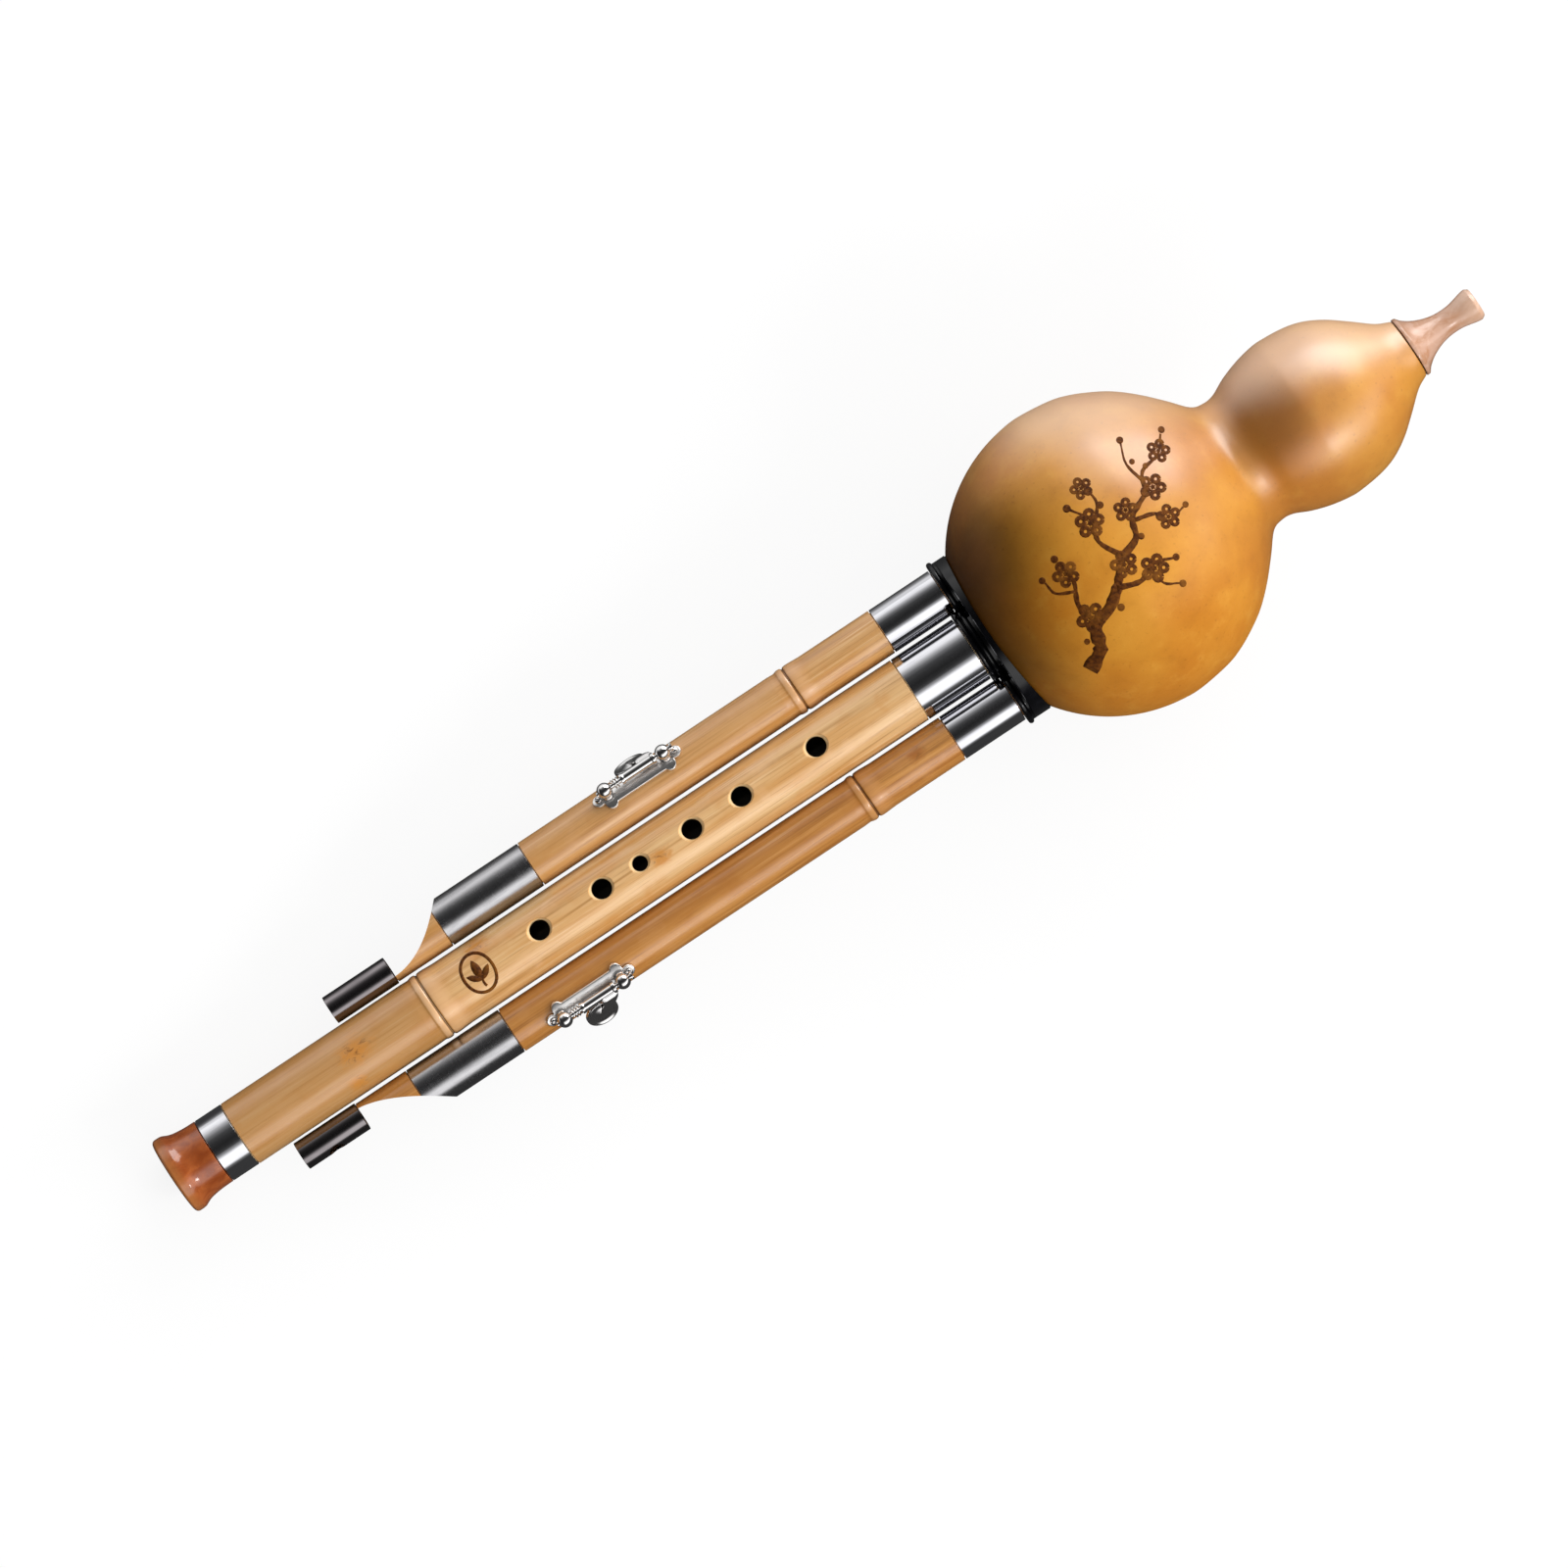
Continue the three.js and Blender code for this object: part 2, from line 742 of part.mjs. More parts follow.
// The concave scoop that leaves only a tongue on the side next to the melody pipe
function scoopCutter(d) {
  const top = -d.bodyLength;
  const foot = top - d.scoopLength;
  const tail = foot - drone.sleeveLength - overrun;
  const points = [[tail, d.side * (d.tongue - drone.radius)]];
  for (let i = 0; i <= curveSteps; i += 1) {
    const share = i / curveSteps;
    const depth = d.tongue + (drone.radius * 2 - d.tongue) * share ** d.scoopPower;
    points.push([foot + d.scoopLength * share, d.side * (depth - drone.radius)]);
  }
  points.push([top, d.side * (drone.radius + overrun)], [tail, d.side * (drone.radius + overrun)]);
  return solid(slab(points, -drone.radius - overrun, drone.radius + overrun));
}

function sleeveOffset(d) {
  return d.side * (drone.sleeveRadius + drone.sleeveToMelody - drone.radius - drone.gapToMelody);
}

function droneTube(d) {
  const seat = drone.radius - ferruleWall - fit;
  const foot = -d.bodyLength - d.scoopLength;
  const midLow = -d.bodyLength - d.midOverhang;
  return solid(turned([
    [foot - drone.pegLength, droneInside],
    [foot - drone.pegLength, drone.radius],
    [midLow - fit, drone.radius],
    [midLow - fit, seat],
    [midLow + d.midFerrule + fit, seat],
    [midLow + d.midFerrule + fit, drone.radius],
    ...nodePoints(-drone.nodeStation, drone.radius),
    [-drone.upperFerrule - fit, drone.radius],
    [-drone.upperFerrule - fit, seat],
    [-fit - ferruleLip - fit, seat],
    [-fit - ferruleLip - fit, droneTenon],
    [drone.tenonLength, droneTenon],
    [drone.tenonLength, droneInside],
  ], roundDrone));
}

// Everything of the tail that would stand outside the sleeve's bore
function pegCutter(d) {
  const foot = -d.bodyLength - d.scoopLength;
  const start = foot - drone.pegLength - overrun;
  const peg = drone.sleeveRadius - drone.sleeveWall - fit;
  const around = rod(start, foot + fit, drone.radius + overrun, roundDrone);
  const kept = rod(start - overrun, foot + overrun, peg, roundDrone).translate(0, sleeveOffset(d), 0);
  return solid(around).subtract(solid(kept));
}

function keyCuts(d) {
  const reach = drone.radius + overrun;
  const seatLength = key.cupRadius * 2 - fit - fit;
  const seat = new THREE.BoxGeometry(seatLength, reach * 2, reach)
    .translate(0, 0, seatHeight + reach / 2);
  const hole = rodUp(0, reach, key.toneHoleRadius, roundSmall);
  const pilotFoot = droneInside + fit + fit;
  const pilots = [-1, 1].map((end) => outwards(
    rodUp(pilotFoot, reach, key.screwRadius + fit, roundTiny)
      .translate(end * key.screwOffset, 0, 0),
    d.side, key.hingeAngle,
  ));
  const cuts = [outwards(seat, d.side, key.cupAngle), outwards(hole, d.side, key.cupAngle), ...pilots];
  return joined(cuts.map((cut) => cut.translate(-d.keyStation, 0, 0)));
}

function makeDronePipe(d, look) {
  const body = droneTube(d)
    .subtract(scoopCutter(d))
    .subtract(pegCutter(d))
    .subtract(keyCuts(d));
  return piece(`${d.name}_drone_pipe`, geometryOf(body), look);
}

function makeMidFerrule(d) {
  const start = -d.bodyLength - d.midOverhang;
  const ring = tube(
    start, start + d.midFerrule, drone.radius, drone.radius - ferruleWall, roundDrone,
  );
  return piece(`${d.name}_mid_ferrule`, geometryOf(solid(ring).subtract(scoopCutter(d))), "brushed");
}

function makeTailSleeve(d) {
  const end = -d.bodyLength - d.scoopLength;
  const start = end - drone.sleeveLength;
  const inner = drone.sleeveRadius - drone.sleeveWall;
  let body = solid(tube(start, end, drone.sleeveRadius, inner, roundSmall));
  if (d.sleeveHole) {
    const hole = rodUp(0, drone.sleeveRadius + overrun, sleeveHoleRadius, roundTiny);
    outwards(hole, d.side, sleeveHoleAngle);
    hole.translate(start + drone.sleeveLength * sleeveHoleShare, 0, 0);
    body = body.subtract(solid(hole));
  }
  const sleeve = piece(`${d.name}_tail_sleeve`, geometryOf(body), "polished");
  sleeve.position.y = sleeveOffset(d);
  return sleeve;
}

// Key plate: a strip with clover feet, bent round the bamboo
function keyPlate(d) {
  const middle = (plateInner + plateOuter) / 2;
  const cupEdge = key.cupAngle - Math.atan((key.cupRadius + fit) / middle) - key.hingeAngle;
  const low = plateInner - overrun;
  const high = plateOuter + overrun;
  const inner = -d.side * key.plateHalfWidth;
  const outer = d.side * middle * Math.sin(cupEdge);
  const reach = key.postOffset;
  const strip = slab([[-reach, inner], [reach, inner], [reach, outer], [-reach, outer]], low, high);
  const lobes = [];
  [-1, 1].forEach((end) => {
    const foot = end * key.postOffset;
    [[0, key.lobeReach], [0, -key.lobeReach], [end * (key.screwOffset - key.postOffset), 0]]
      .forEach(([x, y]) => lobes.push(
        rodUp(low, high, key.lobeRadius, roundSmall).translate(foot + x, y, 0),
      ));
    lobes.push(rodUp(low, high, key.lobeReach, roundSmall).translate(foot, 0, 0));
  });
  const bent = solid(tube(-reach - reach, reach + reach, plateOuter, plateInner, roundPipe));
  const holes = [-1, 1].flatMap((end) => [
    rodUp(low, high, key.tenonRadius + fit, roundTiny).translate(end * key.postOffset, 0, 0),
    rodUp(low, high, key.screwRadius + fit, roundTiny).translate(end * key.screwOffset, 0, 0),
  ]);
  return geometryOf(joined([strip, ...lobes]).intersect(bent).subtract(joined(holes)));
}

// Ball-headed post with a foot and a tenon through the plate
function keyPost() {
  const foot = plateOuter + fit;
  const outline = [
    [plateInner + fit, 0],
    [plateInner + fit, key.tenonRadius],
    [foot, key.tenonRadius],
    [foot, key.collarRadius],
  ];
  const startTurn = Math.asin(key.collarRadius / key.ballRadius);
  for (let i = 0; i <= ballSteps; i += 1) {
    const turn = startTurn + ((Math.PI - startTurn) * i) / ballSteps;
    const onTop = i === ballSteps;
    outline.push([
      hingeHeight - key.ballRadius * Math.cos(turn),
      onTop ? 0 : key.ballRadius * Math.sin(turn),
    ]);
  }
  const bore = rod(-key.ballRadius - overrun, key.ballRadius + overrun, key.rodRadius + fit, roundTiny)
    .translate(0, 0, hingeHeight);
  return geometryOf(solid(turnedUp(outline, roundSmall)).subtract(solid(bore)));
}

function keyRod() {
  const end = key.postOffset + key.ballRadius;
  return turned([
    [-end - fit, 0],
    [-end - fit, key.rodRadius],
    [end + fit, key.rodRadius],
    [end + fit, key.rodHeadRadius],
    [end + fit + key.rodHead, key.rodHeadRadius],
    [end + fit + key.rodHead, 0],
  ], roundTiny).translate(0, 0, hingeHeight);
}

function keyScrew() {
  const head = plateOuter + fit;
  return turnedUp([
    [plateInner - key.screwLength, 0],
    [plateInner - key.screwLength, key.screwRadius],
    [head, key.screwRadius],
    [head, key.screwHeadRadius],
    [head + key.screwHead / 2, key.screwHeadRadius],
    [head + key.screwHead, key.screwHeadRadius / 2],
    [head + key.screwHead, 0],
  ], roundTiny);
}

// Spring coil round the rod, between the lower ball and the lever's tube
const springLength = key.springTurns * key.springPitch;
const springStart = -key.postOffset + key.ballRadius + fit + key.wireRadius;
const tubeStart = springStart + springLength + key.wireRadius + fit;
const coilRadius = key.rodRadius + fit + key.wireRadius;

class CoilCurve extends THREE.Curve {
  getPoint(share, target = new THREE.Vector3()) {
    const turn = Math.PI * 2 * key.springTurns * share;
    return target.set(
      springStart + springLength * share,
      coilRadius * Math.sin(turn),
      coilRadius * Math.cos(turn),
    );
  }
}

function keySpring() {
  const section = new THREE.Shape();
  section.absarc(0, 0, key.wireRadius, 0, Math.PI * 2);
  const settings = {
    steps: Math.round(springSteps * key.springTurns),
    curveSegments: springSides,
    extrudePath: new CoilCurve(),
    bevelEnabled: false,
  };
  return new THREE.ExtrudeGeometry(section, settings).translate(0, 0, hingeHeight);
}

function coilGap() {
  const points = new CoilCurve().getPoints(coilCheckPoints);
  const skip = Math.ceil(points.length / key.springTurns / 2);
  let least = Infinity;
  points.forEach((point, i) => {
    for (let j = i + skip; j < points.length; j += 1) {
      least = Math.min(least, point.distanceTo(points[j]));
    }
  });
  return least - key.wireRadius * 2;
}

// Lever: tube round the rod, arm, and a round cup over the tone hole, in one piece.
// Drawn with the hinge on the x axis and the cup's own up along z, then turned to the cup's place.
const cupTurn = key.cupAngle - key.hingeAngle;
const hingeUp = hingeHeight * Math.cos(cupTurn);
const hingeAcross = hingeHeight * Math.sin(cupTurn);
const padFoot = seatHeight + fit;
const cupCeiling = padFoot + key.padThickness + fit;
const cupTop = cupCeiling + key.cupWall + key.cupCrown / 2;

const cupCrownShares = [[0.3, 1], [0.62, 0.88], [0.9, 0.5], [1, 0]];

function keyCup() {
  const inner = key.cupRadius - key.cupWall;
  const skirt = cupCeiling - key.cupDepth + key.cupWall;
  return turnedUp([
    [cupCeiling, 0],
    [cupCeiling, inner],
    [skirt, inner],
    [skirt, key.cupRadius],
    ...cupCrownShares.map(([up, out]) => [
      cupCeiling + (cupTop - cupCeiling) * up,
      key.cupRadius * out,
    ]),
  ], roundDrone);
}

// The arm's section lies in across and up, and is pushed along x
function keyArm(d) {
  const top = hingeUp + key.tubeRadius;
  const low = top - key.armThickness;
  const section = [
    [key.armTip, cupTop - key.cupWall],
    [key.armTip, cupTop + key.cupWall / 2],
    [key.cupRadius, top],
    [hingeAcross, top],
    [hingeAcross, low],
    [key.cupRadius, low - key.cupWall / 2],
  ].map(([across, up]) => [-up, across * -d.side]);
  return slab(section, key.armStart, key.armStart + key.armWidth).rotateY(Math.PI / 2);
}

function keyLever(d) {
  const tubeEnd = key.postOffset - key.ballRadius - fit;
  const hinge = [0, -d.side * hingeAcross, hingeUp];
  const barrel = rod(tubeStart, tubeEnd, key.tubeRadius, roundSmall).translate(...hinge);
  const bore = rod(tubeStart - overrun, tubeEnd + overrun, key.rodRadius + fit, roundTiny)
    .translate(...hinge);
  const body = joined([barrel, keyCup(), keyArm(d)]).subtract(solid(bore));
  return placeOnHinge(geometryOf(body), d);
}

// From the cup's frame round the pipe's axis to a frame with its origin on the hinge
function placeOnHinge(geometry, d) {
  outwards(geometry, d.side, key.cupAngle);
  return geometry.translate(
    0,
    -d.side * hingeHeight * Math.sin(key.hingeAngle),
    -hingeHeight * Math.cos(key.hingeAngle),
  );
}

function keyPad(d) {
  const radius = key.cupRadius - key.cupWall - fit;
  const geometry = turnedUp([
    [padFoot, 0],
    [padFoot, radius - fit],
    [padFoot + fit, radius],
    [padFoot + key.padThickness, radius],
    [padFoot + key.padThickness, 0],
  ], roundSmall);
  return placeOnHinge(geometry, d);
}

function makeKey(d) {
  const group = new THREE.Group();
  group.position.x = -d.keyStation;
  const upright = new THREE.Group();
  upright.rotation.x = -d.side * key.hingeAngle;
  upright.add(
    piece(`${d.name}_key_plate`, keyPlate(d), "nickel"),
    piece(`${d.name}_key_rod`, keyRod(), "nickel"),
    piece(`${d.name}_key_spring`, keySpring(), "nickel"),
  );
  [["lower", -1], ["upper", 1]].forEach(([place, end]) => {
    const post = piece(`${d.name}_key_post_${place}`, keyPost(), "nickel");
    post.position.x = end * key.postOffset;
    const screw = piece(`${d.name}_key_screw_${place}`, keyScrew(), "nickel");
    screw.position.x = end * key.screwOffset;
    upright.add(post, screw);
  });
  const lever = new THREE.Group();
  lever.name = `${d.name}_key_hinge`;
  lever.position.y = d.side * hingeHeight * Math.sin(key.hingeAngle);
  lever.position.z = hingeHeight * Math.cos(key.hingeAngle);
  lever.rotation.x = d.side * d.keyRestOpening;
  lever.add(
    piece(`${d.name}_key_lever`, keyLever(d), "nickel"),
    piece(`${d.name}_key_pad`, keyPad(d), "pad"),
  );
  group.add(upright, lever);
  return group;
}

function makeDrone(d, look) {
  const group = new THREE.Group();
  group.position.set(base.outerMouth, d.side * droneOffset, 0);
  const ferrule = upperFerrule(0, drone.upperFerrule, drone.radius, droneTenon, roundDrone);
  const cork = tenonCork(0, drone.tenonLength, droneTenon, roundDrone);
  const reeds = reedTube(
    drone.tenonLength, droneInside, droneReed, drone.reedLength, droneTenon - fit,
  );
  const plate = reedPlate(reeds.middle, reeds.flatHeight, droneReed);
  group.add(
    makeDronePipe(d, look),
    piece(`${d.name}_upper_ferrule`, ferrule, "polished"),
    makeMidFerrule(d),
    makeTailSleeve(d),
    piece(`${d.name}_tenon_cork`, cork, "cork"),
    piece(`${d.name}_reed_tube`, reeds.geometry, "brass"),
    piece(`${d.name}_reed_plate`, plate, "brass"),
    makeKey(d),
  );
  return group;
}

// The instrument, tilted to rest, with the origin under the middle of its box
const instrument = new THREE.Group();
instrument.add(
  makeGourd(),
  makeMouthpiece(),
  makeMouthpieceCork(),
  makeSocketBase(),
  makeMelody(),
  makeDrone(leftDrone, "bamboo"),
  makeDrone(rightDrone, "darkBamboo"),
);
instrument.rotation.y = -restTilt;

const hulusi = new THREE.Group();
hulusi.add(instrument);
hulusi.updateMatrixWorld(true);
const box = new THREE.Box3().setFromObject(hulusi, true);
const centre = box.getCenter(new THREE.Vector3());
instrument.position.set(-centre.x, -centre.y, -box.min.z);
hulusi.updateMatrixWorld(true);

console.log(`least gap between the key spring's turns: ${coilGap().toFixed(2)} mm`);

export default hulusi;
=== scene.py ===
# %% [markdown]
# A keyed hulusi. Three bamboo pipes stand in a black socket base that closes the lower end of a
# hollow gourd. The middle pipe has finger holes, and each drone pipe beside it has one hole with
# a small metal key.
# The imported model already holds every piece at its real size, on the body that it moves with.
# This script builds the finished surfaces round that model, so nothing has to be fitted by eye.

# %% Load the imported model
import functools
import json
import math

import bmesh
import bpy
import numpy as np
from mathutils import Matrix, Vector


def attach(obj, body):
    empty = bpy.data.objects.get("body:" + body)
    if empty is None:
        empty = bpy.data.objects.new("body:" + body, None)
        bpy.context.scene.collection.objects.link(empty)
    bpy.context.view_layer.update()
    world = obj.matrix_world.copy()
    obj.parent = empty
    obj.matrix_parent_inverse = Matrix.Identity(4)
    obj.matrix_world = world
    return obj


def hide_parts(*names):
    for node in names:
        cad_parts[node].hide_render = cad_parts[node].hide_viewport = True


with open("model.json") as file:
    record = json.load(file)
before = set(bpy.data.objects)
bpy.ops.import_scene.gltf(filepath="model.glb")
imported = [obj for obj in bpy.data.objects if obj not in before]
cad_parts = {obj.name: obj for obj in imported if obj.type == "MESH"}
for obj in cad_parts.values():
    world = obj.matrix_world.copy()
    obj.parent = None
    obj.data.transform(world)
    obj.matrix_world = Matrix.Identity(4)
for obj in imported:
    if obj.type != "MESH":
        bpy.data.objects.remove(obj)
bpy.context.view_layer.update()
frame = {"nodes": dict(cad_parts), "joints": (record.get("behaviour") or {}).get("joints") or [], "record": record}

MM = 0.001

# %% [markdown]
# The instrument lies a little tilted, on the back of its gourd and on its bell. Its pipes, rings
# and keys are easiest to build along their own axis. So every piece below is drawn in millimetres
# with x along the pipes (zero at the mouth of the middle socket, plus towards the mouthpiece),
# y towards the left drone and z out through the finger holes. One matrix, found from the joints
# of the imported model, carries them to where they lie. FIT is the gap between pieces that fit.

# %% The instrument's own axes
DEGREE = math.radians(1)
FIT = 0.3

MELODY_RADIUS = 10.15
DRONE_RADIUS = 7.15
PIPE_GAP = 0.95
DRONE_OFFSET = MELODY_RADIUS + PIPE_GAP + DRONE_RADIUS
OUTER_MOUTH = 1.9

KEY_STATION = {"left": 101.9, "right": 147.3}
HINGE_ANGLE = 32 * DEGREE
HINGE_HEIGHT = 11.0
HINGE_ASIDE = HINGE_HEIGHT * math.sin(HINGE_ANGLE)
HINGE_ABOVE = HINGE_HEIGHT * math.cos(HINGE_ANGLE)
SIDE = {"left": 1, "right": -1}

joints = {joint["name"]: joint for joint in frame["joints"]}
along = -Vector(joints["melody_slide"]["axis"]).normalized()
across = Vector((0, 1, 0))
outward = along.cross(across)
turn = Matrix((along, across, outward)).transposed()
left_hinge = Vector((OUTER_MOUTH - KEY_STATION["left"], DRONE_OFFSET + HINGE_ASIDE, HINGE_ABOVE))
origin = Vector(joints["left_key_hinge"]["pos_m"]) - turn @ left_hinge * MM
TO_ROW = Matrix.Translation(origin) @ turn.to_4x4() @ Matrix.Scale(MM, 4)
print("tilt, degrees:", round(math.asin(along.z) / DEGREE, 3))
print("socket mouth, mm:", [round(v / MM, 2) for v in origin])

# %% [markdown]
# The camera comes first, because it decides how large every detail has to be. The photograph looks
# straight down on the finger holes, from far enough away that the pipes stay parallel. So the
# camera stands 3 m out along the instrument's z axis with a long lens, and it is rolled until the
# pipes climb to the upper right at the photograph's angle.

# %% Camera
CLIMB = 33.55 * DEGREE
FRAME_WIDTH = 448.0
FRAME_CENTRE = Vector((-66.2, -2.6, 0))
DISTANCE = 3000.0
SENSOR = 36.0
CLIP_END = 50
PICTURE_RIGHT = Vector((math.cos(CLIMB), -math.sin(CLIMB), 0))
PICTURE_UP = Vector((math.sin(CLIMB), math.cos(CLIMB), 0))


def placed(name, data):
    """A new object in the scene."""
    made = bpy.data.objects.new(name, data)
    bpy.context.scene.collection.objects.link(made)
    return made


def add_camera():
    data = bpy.data.cameras.new("camera")
    data.sensor_width = SENSOR
    data.lens = SENSOR * DISTANCE / FRAME_WIDTH
    data.clip_end = CLIP_END
    camera = placed("camera", data)
    spot = TO_ROW @ (FRAME_CENTRE + Vector((0, 0, DISTANCE)))
    facing = Matrix((PICTURE_RIGHT, PICTURE_UP, Vector((0, 0, 1)))).transposed()
    camera.matrix_world = Matrix.Translation(spot) @ (turn @ facing).to_4x4()
    bpy.context.scene.camera = camera
    return camera


print("lens, mm:", round(add_camera().data.lens, 1))

# %% [markdown]
# Most of the instrument was made on a lathe: ferrules, sockets, bell, mouthpiece, posts and rods.
# A lathe shape in Blender is an outline turned round an axis, so one function makes them all. Real
# turned edges are never perfectly sharp, and a sharp edge never catches the light, so a second
# function first rounds the corners of the outline.

# %% Lathe work
SAME_POINT = 1e-4
SAME_CORNER = 1e-5
ON_AXIS = 3e-4
LEAST_TURN = 20 * DEGREE
CORNER_STEPS = 3
MOST_OF_A_SIDE = 0.45


def add_object(points, faces, name="shape"):
    mesh = bpy.data.meshes.new(name)
    mesh.from_pydata([tuple(point) for point in points], [], faces)
    return placed(name, mesh)


def tidy(made, merge=SAME_POINT):
    """Merges doubled points and turns every face outwards."""
    work = bmesh.new()
    work.from_mesh(made.data)
    bmesh.ops.remove_doubles(work, verts=work.verts, dist=merge)
    bmesh.ops.dissolve_degenerate(work, edges=work.edges, dist=merge)
    bmesh.ops.recalc_face_normals(work, faces=work.faces)
    work.to_mesh(made.data)
    work.free()
    return made


def turns(steps, start=0.0, end=math.pi):
    """Angles from start to end in even steps."""
    return [start + (end - start) * step / steps for step in range(steps + 1)]


def rounded(outline, radius):
    """Rounds the corners of a closed outline of (along, out) points."""
    points = [Vector(point) for point in outline]
    points = [here for before, here in zip(points[-1:] + points[:-1], points)
              if (here - before).length > SAME_CORNER]
    result = []
    for before, here, after in zip(points[-1:] + points[:-1], points, points[1:] + points[:1]):
        back, ahead = before - here, after - here
        if here.y < ON_AXIS or math.pi - back.angle(ahead) < LEAST_TURN:
            result.append(here)
            continue
        start = here + back.normalized() * min(radius, back.length * MOST_OF_A_SIDE)
        end = here + ahead.normalized() * min(radius, ahead.length * MOST_OF_A_SIDE)
        for step in range(CORNER_STEPS + 1):
            share = step / CORNER_STEPS
            result.append(start * (1 - share) ** 2 + here * 2 * share * (1 - share)
                          + end * share ** 2)
    return result


def tube_faces(rows, sides, closed=False):
    """Quads between rings of points; closed joins the last ring to the first, or both get caps."""
    faces = []
    for row in range(rows if closed else rows - 1):
        here, after = row * sides, (row + 1) % rows * sides
        for step in range(sides):
            beside = (step + 1) % sides
            faces.append((here + step, here + beside, after + beside, after + step))
    if not closed:
        faces += [tuple(range(sides))[::-1], tuple(range((rows - 1) * sides, rows * sides))]
    return faces


def turned(outline, sides=96, edge=0.0):
    """Turns a closed outline round the x axis; edge is the rounding of its corners."""
    ring = rounded(outline, edge) if edge else [Vector(point) for point in outline]
    angles = turns(sides, end=math.tau)[:-1]
    points = [(p.x, p.y * math.sin(a), p.y * math.cos(a)) for p in ring for a in angles]
    return tidy(add_object(points, tube_faces(len(ring), sides, closed=True)))


def band(start, end, inner, outer):
    return [(start, inner), (start, outer), (end, outer), (end, inner)]


def rod(start, end, radius, sides=64):
    return turned(band(start, end, 0, radius), sides)


def moved(made, matrix):
    made.data.transform(matrix)
    return made


def shifted(made, x=0, y=0, z=0):
    return moved(made, Matrix.Translation((x, y, z)))


def spun(made, angle, axis="X"):
    return moved(made, Matrix.Rotation(angle, 4, axis))


def upright(made):
    """Stands a lathe shape on z."""
    return spun(made, -90 * DEGREE, "Y")


print("lathe ready")

# %% [markdown]
# Holes, slots and scoops are cut with the Boolean modifier, whose exact solver leaves clean edges.
# The result is settled into the mesh at once. Cutting leaves long thin faces, and plain smooth
# shading would make them look dented, so the shading normals are weighted by face area and, on
# anything turned round a pipe's axis, pulled straight in line with that axis. A polished ring then
# reflects as a true cylinder, right up to the edge of a cut.

# %% Cutting and joining
VOXEL = 0.13


def settle(made):
    """Turns an object's modifiers into its mesh."""
    seen = made.evaluated_get(bpy.context.evaluated_depsgraph_get())
    shape = bpy.data.meshes.new_from_object(seen)
    made.modifiers.clear()
    made.data = shape
    return made


def combined(target, tools, operation):
    for tool in tools:
        change = target.modifiers.new("combine", "BOOLEAN")
        change.operation = operation
        change.object = tool
        change.solver = "EXACT"
    settle(target)
    for tool in tools:
        bpy.data.objects.remove(tool)
    return target


def cut(target, *tools):
    return combined(target, tools, "DIFFERENCE")


def joined(target, *tools):
    return combined(target, tools, "UNION")


def trimmed(target, *tools):
    return combined(target, tools, "INTERSECT")


def fused(target, tools, smoothing):
    """Melts overlapping solids into one cast shape with soft inner corners."""
    joined(target, *tools)
    melt = target.modifiers.new("melt", "REMESH")
    melt.mode = "VOXEL"
    melt.voxel_size = VOXEL
    relax = target.modifiers.new("relax", "SMOOTH")
    relax.factor = 0.5
    relax.iterations = smoothing
    return settle(target)


# %% Shading and putting in place
CREASE = 32 * DEGREE
CAST_CREASE = 85 * DEGREE
BY_AREA = 100
LARGEST_STRAY = 0.14
NO_LENGTH = 1e-9

record = frame["record"]
bodies = record["behaviour"]["bodies"]
BODY_OF = {node: body for body, nodes in bodies.items() for node in nodes}


def rows_of(items, field, width, kind=float):
    """A field of all points or corners of a mesh."""
    values = np.zeros(len(items) * width, kind)
    items.foreach_get(field, values)
    return values.reshape(-1, width)


def straighten(mesh, pipe_axis):
    """Takes the small sideways strays out of the normals of a piece turned round a pipe's axis."""
    corners = rows_of(mesh.loops, "vertex_index", 1, np.int32)[:, 0]
    normals = rows_of(mesh.corner_normals, "vector", 3)
    axis = np.array(along)
    out = rows_of(mesh.vertices, "co", 3)[corners] - np.array(TO_ROW @ Vector((0, pipe_axis, 0)))
    out -= np.outer(out @ axis, axis)
    sideways = np.cross(axis, out)
    sideways /= np.maximum(np.linalg.norm(sideways, axis=1, keepdims=True), NO_LENGTH)
    strays = np.sum(normals * sideways, axis=1)
    small = np.abs(strays) < LARGEST_STRAY
    normals[small] -= strays[small, None] * sideways[small]
    normals /= np.linalg.norm(normals, axis=1, keepdims=True)
    mesh.normals_split_custom_set(normals.tolist())


def install(made, node, look, pipe_axis=None, crease=CREASE, name=None):
    """Carries a finished piece to its place and lets it stand for its CAD node.

    pipe_axis is the y of the pipe whose axis the piece is turned round."""
    made.name = name or f"{node}_finish"
    moved(made, TO_ROW)
    made.data.shade_smooth()
    made.data.set_sharp_from_angle(angle=crease)
    weigh = made.modifiers.new("weigh", "WEIGHTED_NORMAL")
    weigh.keep_sharp = True
    weigh.weight = BY_AREA
    settle(made)
    if pipe_axis is not None:
        straighten(made.data, pipe_axis)
    made.data.materials.clear()
    made.data.materials.append(look)
    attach(made, BODY_OF[node])
    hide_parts(node)
    return made


# %% [markdown]
# Every material below is a Principled shader fed by procedural nodes. Wiring nodes by hand hides
# the idea behind them, so two small classes let the maths read as maths: a Value is a number that
# changes over the surface, and adding or multiplying Values adds the Math nodes. A Look holds one
# material, and its node method makes any other node. All patterns are placed in the instrument's
# own millimetres, so that a fibre runs along the pipe and a stain sits at a known station.

